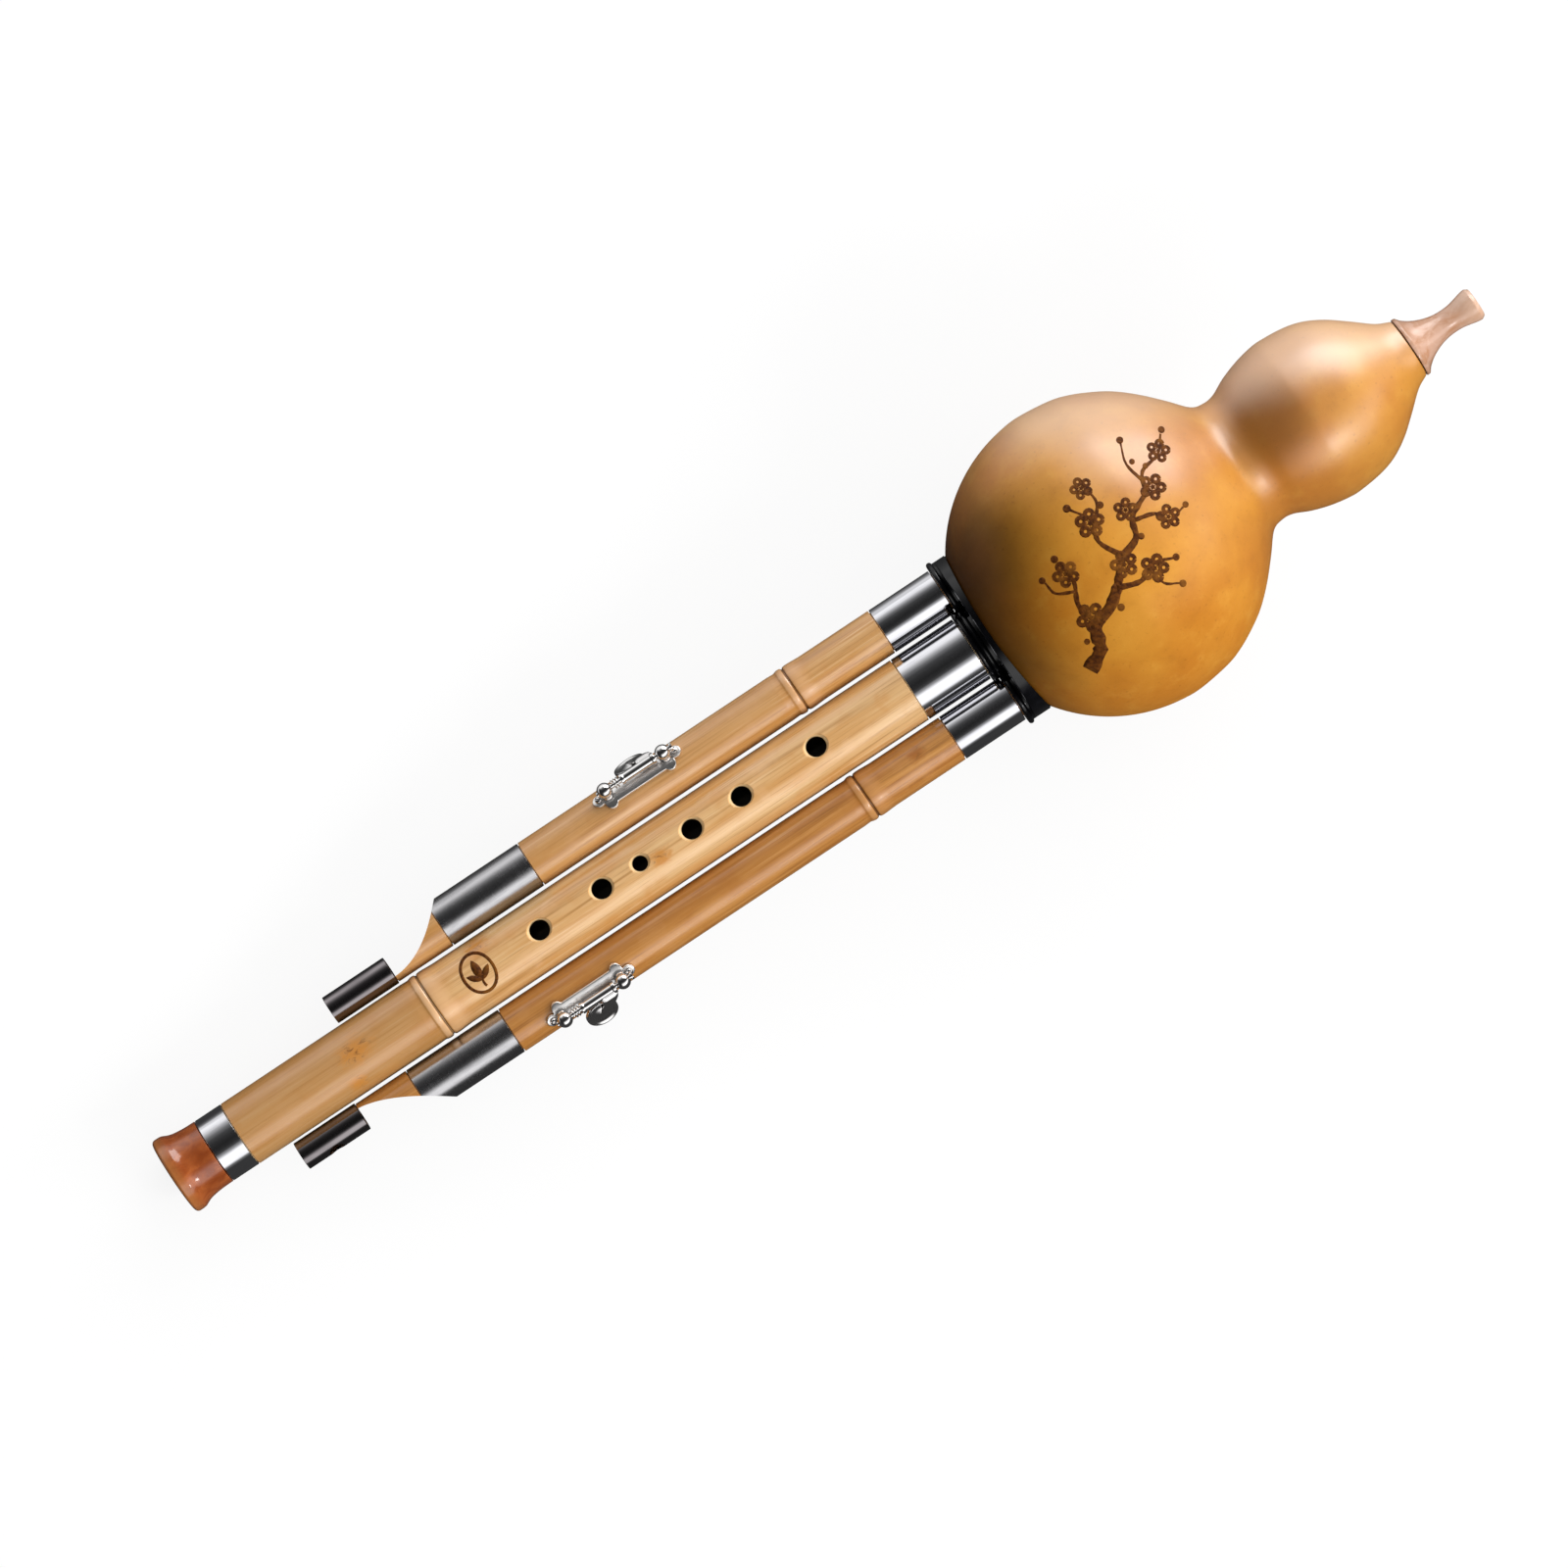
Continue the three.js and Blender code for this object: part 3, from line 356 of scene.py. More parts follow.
# %% Materials as arithmetic
class Value:
    """A number or colour that changes over a surface."""

    def __init__(self, look, socket):
        self.look = look
        self.socket = socket

    def maths(self, operation, first, second=0.0):
        return self.look.node("ShaderNodeMath", {"operation": operation}, {0: first, 1: second})

    def __add__(self, other):
        return self.maths("ADD", self, other)

    def __radd__(self, other):
        return self.maths("ADD", other, self)

    def __sub__(self, other):
        return self.maths("SUBTRACT", self, other)

    def __rsub__(self, other):
        return self.maths("SUBTRACT", other, self)

    def __mul__(self, other):
        return self.maths("MULTIPLY", self, other)

    def __rmul__(self, other):
        return self.maths("MULTIPLY", other, self)

    def __truediv__(self, other):
        return self.maths("DIVIDE", self, other)

    def __pow__(self, other):
        return self.maths("POWER", self, other)

    def __abs__(self):
        return self.maths("ABSOLUTE", self)

    def most(self, other):
        return self.maths("MAXIMUM", self, other)


def paint(code):
    """A colour from its usual six-figure code."""
    shares = [int(code[i:i + 2], 16) / 255 for i in (0, 2, 4)]
    linear = [s / 12.92 if s <= 0.04045 else ((s + 0.055) / 1.055) ** 2.4 for s in shares]
    return (*linear, 1.0)


class Look:
    """A material and the nodes that feed its Principled shader."""

    def __init__(self, name, constants):
        self.material = bpy.data.materials.new(name)
        self.material.use_nodes = True
        self.tree = self.material.node_tree
        self.shader = self.tree.nodes["Principled BSDF"]
        for socket, value in constants.items():
            self.shader.inputs[socket].default_value = value

    def node(self, kind, settings, inputs, output=0):
        made = self.tree.nodes.new(kind)
        for name, setting in settings.items():
            if name == "stops":
                self.set_stops(made.color_ramp, setting)
            else:
                setattr(made, name, setting)
        for name, value in inputs.items():
            if isinstance(value, Value):
                self.tree.links.new(value.socket, made.inputs[name])
            else:
                made.inputs[name].default_value = value
        return Value(self, made.outputs[output])

    def set_stops(self, ramp, stops):
        while len(ramp.elements) < len(stops):
            ramp.elements.new(1.0)
        for element, (place, colour) in zip(ramp.elements, stops):
            element.position = place
            element.color = colour

    def feed(self, socket, value):
        self.tree.links.new(value.socket, self.shader.inputs[socket])

    @functools.cached_property
    def at(self):
        """The place on the instrument, in its own millimetres."""
        return self.node("ShaderNodeMapping", {"vector_type": "POINT"}, {
            "Vector": self.node("ShaderNodeTexCoord", {}, {}, "Object"),
            "Location": TO_ROW.inverted().translation,
            "Rotation": turn.inverted().to_euler(),
            "Scale": (1 / MM,) * 3,
        })

    def split(self, place):
        outputs = self.node("ShaderNodeSeparateXYZ", {}, {0: place}).socket.node.outputs
        return [Value(self, outputs[axis]) for axis in range(3)]

    def noise(self, scale, detail=3.0, roughness=0.55, distortion=0.0, stretch=None):
        """Noise on the instrument; stretch scales it along the pipes and across them."""
        place = self.at
        if stretch:
            lengthwise, crosswise = stretch
            place = self.node("ShaderNodeVectorMath", {"operation": "MULTIPLY"},
                              {0: place, 1: (lengthwise, crosswise, crosswise)})
        return self.node("ShaderNodeTexNoise", {}, {
            "Vector": place, "Scale": scale, "Detail": detail, "Roughness": roughness,
            "Distortion": distortion,
        })

    def cells(self, scale):
        """The distance to the nearest of many scattered points."""
        return self.node("ShaderNodeTexVoronoi", {}, {"Vector": self.at, "Scale": scale},
                         "Distance")

    def rise(self, value, low, high):
        """Climbs smoothly from 0 at low to 1 at high; low may be the larger."""
        return self.node("ShaderNodeMapRange", {"interpolation_type": "SMOOTHSTEP"}, {
            "Value": value, "From Min": low, "From Max": high, "To Min": 0.0, "To Max": 1.0,
        })

    def mix(self, share, first, second):
        """Goes from the first colour to the second; a colour may be a code."""
        first, second = (paint(c) if isinstance(c, str) else c for c in (first, second))
        return self.node("ShaderNodeMix", {"data_type": "RGBA"}, {0: share, 6: first, 7: second},
                         output=2)

    def layered(self, tone, *layers):
        """Lays colours over a tone. A layer is a value, where it starts and is full, how
        strongly it then covers, and its colour."""
        for value, low, high, strength, code in layers:
            mask = self.rise(value, low, high)
            tone = self.mix(mask if strength == 1 else mask * strength, tone, code)
        return tone

    def finished(self, colour, roughness, height, strength, depth):
        """Feeds the shader. depth is the height of a full step of the bump, in millimetres."""
        self.feed("Base Color", colour)
        self.feed("Roughness", roughness)
        self.feed("Normal", self.node("ShaderNodeBump", {}, {
            "Height": height, "Strength": strength, "Distance": depth * MM,
        }))
        return self.material


print("materials ready")

# %% [markdown]
# A dried gourd is scraped, polished and lacquered. Its skin is never one colour: it has broad
# clouds of honey and amber and small freckles. Layers of noise of different size give clouds,
# mottling, freckles and pores. Soft masks by place darken the skin near the sockets and just above
# the neck, partly as stain and partly as painted shade, and paint a pale sheen, a painted
# highlight, on the upper side of the bulb. The lacquer is a coat, strongest towards the mouthpiece
# and the left drone.

# %% Look of the gourd
PATCH = (104.0, 7.0)
PATCH_RADIUS = 15.0
TOP_WAY = (0.8, 0.55)


def gourd_look():
    look = Look("lacquered_gourd", {"Specular IOR Level": 0.1, "Coat IOR": 2.0,
                                    "Coat Roughness": 0.36})
    x, y, z = look.split(look.at)
    clouds = look.noise(0.03, 2)
    mottling = look.noise(0.16, 5, 0.6)
    freckles = look.noise(0.9, 3, 0.5)
    grain = look.noise(3.2, 2)
    skin = look.layered(
        "c4852c", (clouds, 0.35, 0.68, 1, "b67220"), (mottling, 0.48, 0.8, 0.3, "965a16"),
        (mottling, 0.5, 0.25, 0.3, "d29a3e"), (freckles, 0.6, 0.78, 0.3, "7a4512"))
    cloudy, mottled = clouds - 0.5, mottling - 0.5
    # Painted shade, partly a real stain: the skin darkens near the sockets, most on the side towards the left
    # drone.
    lifted = look.rise(y, 18, 44) * 14
    skin = look.layered(skin, (x - y * 0.38 + lifted + cloudy * 24, 38, 2, 0.9, "331a03"))
    to_top = x * TOP_WAY[0] + y * TOP_WAY[1] + cloudy * 20
    look.feed("Coat Weight", look.rise(to_top, 30, 70) * 0.9 + 0.03)
    # A dark patch just above the neck, partly a stain and partly painted shade.
    patch_x = (x - PATCH[0]) / PATCH_RADIUS
    patch_y = (y - PATCH[1]) / PATCH_RADIUS
    reach = patch_x * patch_x + patch_y * patch_y + mottled * 0.8
    neck_stain_and_shade = look.rise(reach, 1.3, 0.0) * look.rise(z, 0.0, 8.0)
    skin = look.mix(neck_stain_and_shade * 0.55, skin, "5c330b")
    # Painted highlight: a pale sheen painted on the upper side of the bulb.
    painted_sheen = look.rise(y + x * 0.3 + cloudy * 8, 40, 58) * look.rise(x, 28, 52)
    skin = look.mix(painted_sheen * 0.35, skin, "e6d0bb")
    pores = mottling * 0.45 + freckles * 0.3 + grain * 0.18
    return look.finished(skin, 0.42 + mottled * 0.14 + (grain - 0.5) * 0.1, pores, 0.35, 0.25)


gourd_material = gourd_look()
print("made", gourd_material.name)

# %% [markdown]
# The gourd itself is one lathe shape. The lower bulb is almost a ball, and the rest of its outline
# is a few listed points with a smooth curve through them, the same points that the CAD uses. It
# grew slightly out of line, so the whole shape leans towards the left drone. It has a wall, an
# open top for the mouthpiece and an open foot for the sockets. Its back is flat where it rests.

# %% Gourd
BULB_RADIUS = 47.0
UPPER_RADIUS = 26.05
NECK_RADIUS = 20.3
TOP_RADIUS = 9.4
TOP_HOLE = 6.3
WALL = 4.0
TOP_WALL = 5.5
BULB_TO_NECK = 46.2
NECK_TO_UPPER = 23.6
UPPER_TO_TOP = 33.7
POLISH = 0.22
LEAN = 0.78 * DEGREE
LEAN_PIVOT = -34.0
LEAN_MATRIX = (
    Matrix.Translation((LEAN_PIVOT, 0, 0)) @ Matrix.Rotation(LEAN, 4, "Z")
    @ Matrix.Translation((-LEAN_PIVOT, 0, 0))
)
PLATE_START = 4.2
PLATE_THICKNESS = 1.4
PLATE_BEVEL = 0.6
PLATE_HALF_HEIGHT = 22.0
GOURD_MOUTH = PLATE_START + PLATE_THICKNESS + FIT
MOUTH_RADIUS = PLATE_HALF_HEIGHT - PLATE_BEVEL
BULB_CENTRE = GOURD_MOUTH + math.sqrt(BULB_RADIUS ** 2 - MOUTH_RADIUS ** 2)
NECK = BULB_CENTRE + BULB_TO_NECK
UPPER = NECK + NECK_TO_UPPER
GOURD_TOP = UPPER + UPPER_TO_TOP
SOCKET_DEPTH = 15.0
SOCKET_END = SOCKET_DEPTH + OUTER_MOUTH
OVERRUN = 2.0
MELODY_BORE = 9.7
DRONE_BORE = 7.0
PLUG_LOSS = 0.3
COLLAR_WALL = 1.3
MELODY_COLLAR_WALL = 1.7

shoulder_shares = [(0.212, 0.955), (0.333, 0.891), (0.4545, 0.789), (0.576, 0.658),
                   (0.697, 0.474), (0.818, 0.248), (0.92, 0.045), (1, 0)]
rising_shares = [(0.15, 0.07), (0.356, 0.46), (0.593, 0.78), (0.83, 0.97), (1, 1)]
falling_shares = [(0.214, 0.955), (0.38, 0.859), (0.546, 0.673), (0.712, 0.408), (0.878, 0.126),
                  (1, 0)]


def smooth_curve(points, steps):
    """A curve through the points, with an even flow past each one."""
    points = [np.array(point, float) for point in points]
    ends = [2 * points[0] - points[1], *points, 2 * points[-1] - points[-2]]
    curve = []
    for a, b, c, d in zip(ends, ends[1:], ends[2:], ends[3:]):
        for step in range(steps):
            t = step / steps
            curve.append(0.5 * (2 * b + (c - a) * t + (2 * a - 5 * b + 4 * c - d) * t ** 2
                                + (3 * b - a - 3 * c + d) * t ** 3))
    return [*curve, points[-1]]


def spread(shares, start, span, low, high):
    """Outline points from shares of a stretch: how far along it, and how far from low to high."""
    return [(start + span * share, low + (high - low) * rise) for share, rise in shares]


def gourd_outline():
    points = [(BULB_CENTRE - BULB_RADIUS * math.cos(angle), BULB_RADIUS * math.sin(angle))
              for angle in turns(8, math.asin(MOUTH_RADIUS / BULB_RADIUS), math.pi / 2)]
    points += spread(shoulder_shares, BULB_CENTRE, BULB_TO_NECK, NECK_RADIUS, BULB_RADIUS)
    points += spread(rising_shares, NECK, NECK_TO_UPPER, NECK_RADIUS, UPPER_RADIUS)
    points += spread(falling_shares, UPPER, UPPER_TO_TOP, TOP_RADIUS, UPPER_RADIUS)
    return [point - np.array((0, POLISH)) for point in smooth_curve(points, 5)]


GOURD_OUTLINE = gourd_outline()


def gourd_height(x, y):
    """Height of the gourd's front surface over a point of the instrument's middle plane."""
    upright_spot = LEAN_MATRIX.inverted() @ Vector((x, y, 0))
    radius = float(np.interp(upright_spot.x, *zip(*GOURD_OUTLINE)))
    return math.sqrt(max(radius ** 2 - upright_spot.y ** 2, 0.0))


def gourd_inside():
    inner = []
    for before, here, after in zip(GOURD_OUTLINE, GOURD_OUTLINE[1:], GOURD_OUTLINE[2:]):
        flow = (after - before) / np.linalg.norm(after - before)
        x, r = here[0] + flow[1] * WALL, here[1] - flow[0] * WALL
        if GOURD_MOUTH < x < GOURD_TOP - TOP_WALL and r > TOP_HOLE:
            inner.append((x, r))
    return inner[::-3]


def plug_rounds(start, end, grow=0.0):
    """The three overlapping rounds of the socket base that pass through the gourd's foot."""
    middle = MELODY_BORE + MELODY_COLLAR_WALL - PLUG_LOSS + grow
    beside = DRONE_BORE + COLLAR_WALL - PLUG_LOSS + grow
    return [rod(start, end, middle), *(shifted(rod(start, end, beside), y=side * DRONE_OFFSET)
                                       for side in SIDE.values())]


def make_gourd():
    made = turned([
        *GOURD_OUTLINE, (GOURD_TOP, TOP_HOLE), (GOURD_TOP - TOP_WALL, TOP_HOLE),
        *gourd_inside(), (GOURD_MOUTH, DRONE_BORE),
    ], 160, edge=0.25)
    moved(made, LEAN_MATRIX)
    cut(made, *plug_rounds(GOURD_MOUTH - OVERRUN, SOCKET_END + OVERRUN, FIT))
    install(made, "gourd_shell", gourd_material, crease=50 * DEGREE, name="gourd_finish")
    # whatever would reach below the table is pressed flat onto it
    for point in made.data.vertices:
        point.co.z = max(point.co.z, 0.0)
    return made


print("gourd", len(make_gourd().data.polygons), "faces")

# %% [markdown]
# The gourd carries a small drawing burnt into its skin. A branch of plum blossom is the usual one
# on this instrument, so a plain one is laid out here: a stubby trunk, crooked twigs, round
# blossoms of five petals, and buds. Each stroke is drawn flat, as a line with a width that swells
# and thins like a brush stroke, and is then laid over the round surface as a thin solid, sunk
# into the skin with its face just proud.

# %% Look of burnt lines
def burnt_look():
    look = Look("burnt_line", {"Specular IOR Level": 0.12})
    depth = look.noise(0.9, 3)
    grain = look.noise(5.0, 2)
    fading = look.noise(0.16, 3)
    tone = look.layered("3b1b06", (depth, 0.3, 0.7, 1, "63360d"),
                        (fading, 0.48, 0.7, 0.7, "7e4d16"))
    return look.finished(tone, 0.62 + (grain - 0.5) * 0.2, grain, 0.4, 0.06)


burnt_material = burnt_look()

# %% Strokes laid on a surface
PROUD = 0.04
SUNK = 0.5
SAME_IN_STROKE = 1e-5
FINEST = 0.03


def lay_strokes(name, strokes, height, columns=4):
    """Each stroke is a list of (x, y, half width); height gives the surface under a point."""
    points, faces = [], []
    width = columns + 1
    for stroke in strokes:
        first = len(points)
        path = [Vector((x, y)) for x, y, _ in stroke]
        for i, (x, y, half) in enumerate(stroke):
            run = path[min(i + 1, len(path) - 1)] - path[max(i - 1, 0)]
            beside = Vector((-run.y, run.x)).normalized()
            for column in range(width):
                reach = half * (2 * column / columns - 1)
                px, py = x + beside.x * reach, y + beside.y * reach
                points.append((px, py, height(px, py) + PROUD))
            points += [(px, py, pz - SUNK) for px, py, pz in points[-width:]]
        last = first + (len(stroke) - 1) * 2 * width
        for a in range(first, last, 2 * width):
            b = a + 2 * width
            for c in range(columns):
                faces.append((a + c, a + c + 1, b + c + 1, b + c))
                faces.append((a + width + c, b + width + c, b + width + c + 1, a + width + c + 1))
            faces.append((a, b, b + width, a + width))
            faces.append((a + columns, a + width + columns, b + width + columns, b + columns))
        faces += [(a + c, a + width + c, a + width + c + 1, a + c + 1)
                  for a in (first, last) for c in range(columns)]
    made = tidy(add_object(points, faces, name), SAME_IN_STROKE)
    moved(made, TO_ROW)
    made.data.materials.append(burnt_material)
    made.data.shade_smooth()
    return made


def line(start, end, start_half, end_half, bow=0.0, steps=8):
    a, b = Vector(start), Vector(end)
    beside = Vector((a.y - b.y, b.x - a.x))
    stroke = []
    for step in range(steps + 1):
        share = step / steps
        place = a.lerp(b, share) + beside * bow * math.sin(math.pi * share)
        stroke.append((place.x, place.y, start_half + (end_half - start_half) * share))
    return stroke


def ring(u, v, radius, half):
    return [(u + radius * math.cos(angle), v + radius * math.sin(angle), half)
            for angle in turns(12, end=math.tau)]


def dot(u, v, radius):
    """A filled round: a short stroke as wide as it is long."""
    return [(u - radius * math.cos(angle), v, FINEST + radius * math.sin(angle))
            for angle in turns(8)]


# %% Plum branch on the gourd
PETALS = 5
MIDDLE_SIZE = 0.08
PETAL_REACH = 0.31
PETAL_RADIUS = 0.13
PETAL_LINE = 0.075
STAMEN_REACH = 0.22

branches = [
    # points from thick to thin, and half widths at both ends
    ([(-7, -33), (-4.2, -27), (-5.5, -21), (-1.5, -15), (0.5, -9)], 2.1, 1.3),
    ([(0.5, -9), (1.5, -2), (5.5, 4), (4.5, 10), (8.5, 17)], 1.25, 0.75),
    ([(8.5, 17), (7.5, 23), (12, 28), (13, 34)], 0.7, 0.28),
    ([(7.9, 20), (3, 25), (1.5, 31)], 0.5, 0.26),
    ([(4.8, 9), (11, 11), (15, 9), (19, 13)], 0.65, 0.28),
    ([(1.8, -1), (-5, 3), (-7, 9), (-13, 12)], 0.85, 0.34),
    ([(-6.4, 7.5), (-5.5, 14), (-9.5, 19)], 0.55, 0.26),
    ([(-4.8, -20), (-10.5, -15), (-12, -8), (-16.5, -3)], 0.95, 0.34),
    ([(-11.6, -11), (-17, -11.5), (-20, -8.5)], 0.48, 0.26),
    ([(0.2, -10), (7, -8), (10.5, -3), (16, -1.5)], 0.85, 0.32),
    ([(9.6, -4.6), (13.5, -8.5), (18, -8.5)], 0.48, 0.26),
]
blossoms = [
    # right and up, size across, and turn in degrees
    (2.2, -3.4, 8.0, 40), (10.4, 18.6, 7.8, 70), (-7.4, 8.2, 8.6, 25), (-14.2, -6.0, 7.8, 55),
    (10.8, -4.4, 8.4, 5), (14.8, 10.2, 7.2, 33), (12.2, 29.0, 7.0, 80), (-7.0, -18.2, 8.6, 62),
    (2.6, 12.0, 7.0, 18), (-9.8, 18.2, 6.6, 48),
]
buds = [
    (13.3, 35.2), (1.3, 32.0), (19.7, 13.7), (-13.9, 12.4), (-20.8, -7.9), (18.9, -8.6),
    (16.9, -1.2), (-8.0, -25.0), (4.6, 25.8), (7.0, 4.6), (1.4, -15.4), (-17.4, -1.9),
    (-4.6, 13.4), (8.4, 24.6),
]


def on_gourd(u, v):
    """From the drawing's own right and up, in millimetres from the bulb's middle."""
    return (Vector((BULB_CENTRE, 0)) + PICTURE_RIGHT.xy * u + PICTURE_UP.xy * v)[:]


def twig(points, thick, thin, chance):
    """A crooked branch through a few points, with an uneven edge."""
    path = smooth_curve(points, 5)
    return [(u, v, (thick + (thin - thick) * i / (len(path) - 1)) * chance.uniform(0.8, 1.25))
            for i, (u, v) in enumerate(path)]


def blossom(u, v, size, turned_by):
    strokes = [dot(u, v, size * MIDDLE_SIZE)]
    for i in range(PETALS):
        angle = turned_by + math.tau * i / PETALS
        reach = size * PETAL_REACH
        strokes.append(ring(u + reach * math.cos(angle), v + reach * math.sin(angle),
                            size * PETAL_RADIUS, size * PETAL_LINE))
        between, reach = angle + math.pi / PETALS, size * STAMEN_REACH
        tip = (u + reach * math.cos(between), v + reach * math.sin(between))
        strokes.append(line((u, v), tip, 0.14, 0.12, steps=3))
    return strokes


def make_drawing():
    chance = np.random.default_rng(7)
    strokes = [twig(points, thick, thin, chance) for points, thick, thin in branches]
    for u, v, size, degrees in blossoms:
        strokes += blossom(u, v, size, degrees * DEGREE)
    strokes += [dot(u, v, chance.uniform(0.8, 1.15)) for u, v in buds]
    strokes = [[(*on_gourd(u, v), half) for u, v, half in stroke] for stroke in strokes]
    made = lay_strokes("gourd_drawing", strokes, gourd_height)
    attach(made, "wind_chamber")
    return len(strokes)


print("drawing of", make_drawing(), "strokes")

# %% [markdown]
# The mouthpiece is turned from pinkish, slightly clear resin with an amber vein towards the lip.
# The cork ring under it seals it in the gourd. Both are lathe shapes that lean with the gourd.

# %% Looks of the mouthpiece and the cork
def mouthpiece_look():
    look = Look("pink_resin", {"Coat Weight": 0.4, "Coat Roughness": 0.08})
    x, y, z = look.split(look.at)
    veins = look.noise(0.22, 4, 0.55, 1.2, stretch=(0.5, 1))
    haze = look.noise(0.6, 3)
    # The last layer paints the lip paler: a painted highlight on the lip's shaded side.
    tone = look.layered(
        "b9937d", (veins, 0.35, 0.7, 1, "aa7b5b"), (haze, 0.5, 0.8, 0.35, "d4b7a5"),
        (x, GOURD_TOP + 13, GOURD_TOP + 21, 0.5, "d9bba6"))
    to_lip = look.rise(x, GOURD_TOP + 15, GOURD_TOP + 23) * look.rise(y, 4.0, -4.0)
    tone = look.mix(to_lip * 0.3, tone, "b87a3c")
    return look.finished(tone, 0.22 + (haze - 0.5) * 0.1, haze, 0.15, 0.1)


def cork_look():
    look = Look("cork", {})
    cells = look.cells(1.6)
    patches = look.noise(0.7, 4)
    tone = look.layered("b98a58", (patches, 0.35, 0.7, 1, "8f6137"),
                        (cells, 0.42, 0.62, 0.6, "5d3a1c"))
    return look.finished(tone, 0.8 + (patches - 0.5) * 0.2, cells, 0.5, 0.15)


mouthpiece_material = mouthpiece_look()
cork_material = cork_look()

# %% Mouthpiece and its cork
MOUTHPIECE_START = GOURD_TOP + FIT
MOUTHPIECE_LENGTH = 23.2
MOUTHPIECE_END = MOUTHPIECE_START + MOUTHPIECE_LENGTH
FLANGE_RADIUS = 9.5
SHOULDER_RADIUS = 6.3
WAIST_RADIUS = 3.8
LIP_RADIUS = 5.1
LIP_ROUND = 0.7
MOUTH_TENON = 4.9
MOUTH_TENON_LENGTH = 9.0
MOUTH_BORE = 2.1
BORE_ROUND = (0.8, 0.3)
THROAT = 3.2
MOUTH_CORK = 0.8
CORK_SHARE = 0.6

waist_shares = [(0.19, 1), (0.3, 0.5), (0.42, 0.15), (0.55, 0)]
lip_shares = [(0.7, 0.12), (0.87, 0.8), (0.95, 1)]


def make_mouthpiece():
    start, end, length = MOUTHPIECE_START, MOUTHPIECE_END, MOUTHPIECE_LENGTH
    foot = start - MOUTH_TENON_LENGTH
    flow = [(start + length * 0.045, FLANGE_RADIUS - 0.1),
            (start + length * 0.1, SHOULDER_RADIUS + 1.55)]
    flow += spread(waist_shares, start, length, WAIST_RADIUS, SHOULDER_RADIUS)
    flow += spread(lip_shares, start, length, WAIST_RADIUS, LIP_RADIUS)
    made = turned([
        (foot, THROAT), (foot, MOUTH_TENON), (start, MOUTH_TENON), (start, FLANGE_RADIUS),
        *smooth_curve(flow, 6), (end, LIP_RADIUS - LIP_ROUND), (end, MOUTH_BORE + BORE_ROUND[1]),
        (end - BORE_ROUND[0], MOUTH_BORE), (start, MOUTH_BORE),
    ], edge=0.3)
    install(moved(made, LEAN_MATRIX), "mouthpiece", mouthpiece_material, crease=40 * DEGREE)


def cork_ring(start, length, inner, thickness):
    return turned(band(start, start + length, inner, inner + thickness), 72, edge=0.15)


make_mouthpiece()
cork = cork_ring(MOUTHPIECE_START - MOUTH_TENON_LENGTH, MOUTH_TENON_LENGTH * CORK_SHARE,
                 MOUTH_TENON + FIT, MOUTH_CORK)
install(moved(cork, LEAN_MATRIX), "mouthpiece_cork", cork_material)
print("mouthpiece ends at", round(MOUTHPIECE_END, 1), "mm")

# %% [markdown]
# The socket base is one glossy black moulding: a beaded collar for each pipe, an oval plate behind
# them that is scribed to the round of the gourd, and a plug that passes inside. Each collar is
# turned with its beads, the three and the plate are joined, the gourd's ball is taken away from
# the back, and the three sockets are bored last, so that nothing stands in them.

# %% Look of the socket base
def socket_look():
    look = Look("black_moulding", {"Specular IOR Level": 0.4})
    smears = look.noise(0.35, 4)
    dust = look.noise(6.0, 2)
    tone = look.layered("050507", (smears, 0.35, 0.75, 1, "0c0c10"))
    return look.finished(tone, 0.12 + look.rise(smears, 0.45, 0.8) * 0.1,
                         smears * 0.7 + dust * 0.1, 0.15, 0.05)


socket_material = socket_look()

# %% Socket base
BEAD_HEIGHT = 0.8
BEAD_WIDTH = 1.7
INNER_LENGTH = 4.0
COLLAR_END = PLATE_START + INNER_LENGTH + PLATE_THICKNESS
SOCKET_LIP = 0.35
BEVEL_MIDDLE = 0.3


def collar(mouth, bore, wall, beads):
    radius, end = bore + wall, COLLAR_END + OVERRUN
    outline = [(mouth, 0)]
    for bead in range(beads):
        outline += [(mouth + BEAD_WIDTH * (bead + (1 - math.cos(angle)) / 2),
                     radius + BEAD_HEIGHT * math.sin(angle)) for angle in turns(8)]
    return turned([*outline, (end, radius), (end, 0)], edge=0.08)


def base_plate():
    """An oval plate with rounded edges, up and down along z and wide along y."""
    half_width = DRONE_OFFSET + DRONE_BORE + COLLAR_WALL
    bevel = PLATE_BEVEL * BEVEL_MIDDLE
    made = turned([
        (PLATE_START, 0), (PLATE_START, 1 - PLATE_BEVEL / PLATE_HALF_HEIGHT),
        (PLATE_START + bevel, 1 - bevel / PLATE_HALF_HEIGHT),
        (PLATE_START + PLATE_BEVEL, 1), (COLLAR_END, 1), (COLLAR_END, 0),
    ], 160)
    return moved(made, Matrix.Diagonal((1, half_width, PLATE_HALF_HEIGHT, 1)))


def socket_bore(mouth, bore, y):
    """A bore with a softly rounded mouth."""
    lip = SOCKET_LIP
    made = turned([
        (mouth - OVERRUN, 0), (mouth - OVERRUN, bore + lip), (mouth, bore + lip),
        (mouth + lip * BEVEL_MIDDLE, bore + lip * BEVEL_MIDDLE), (mouth + lip, bore),
        (SOCKET_END + OVERRUN, bore), (SOCKET_END + OVERRUN, 0),
    ])
    return shifted(made, y=y)


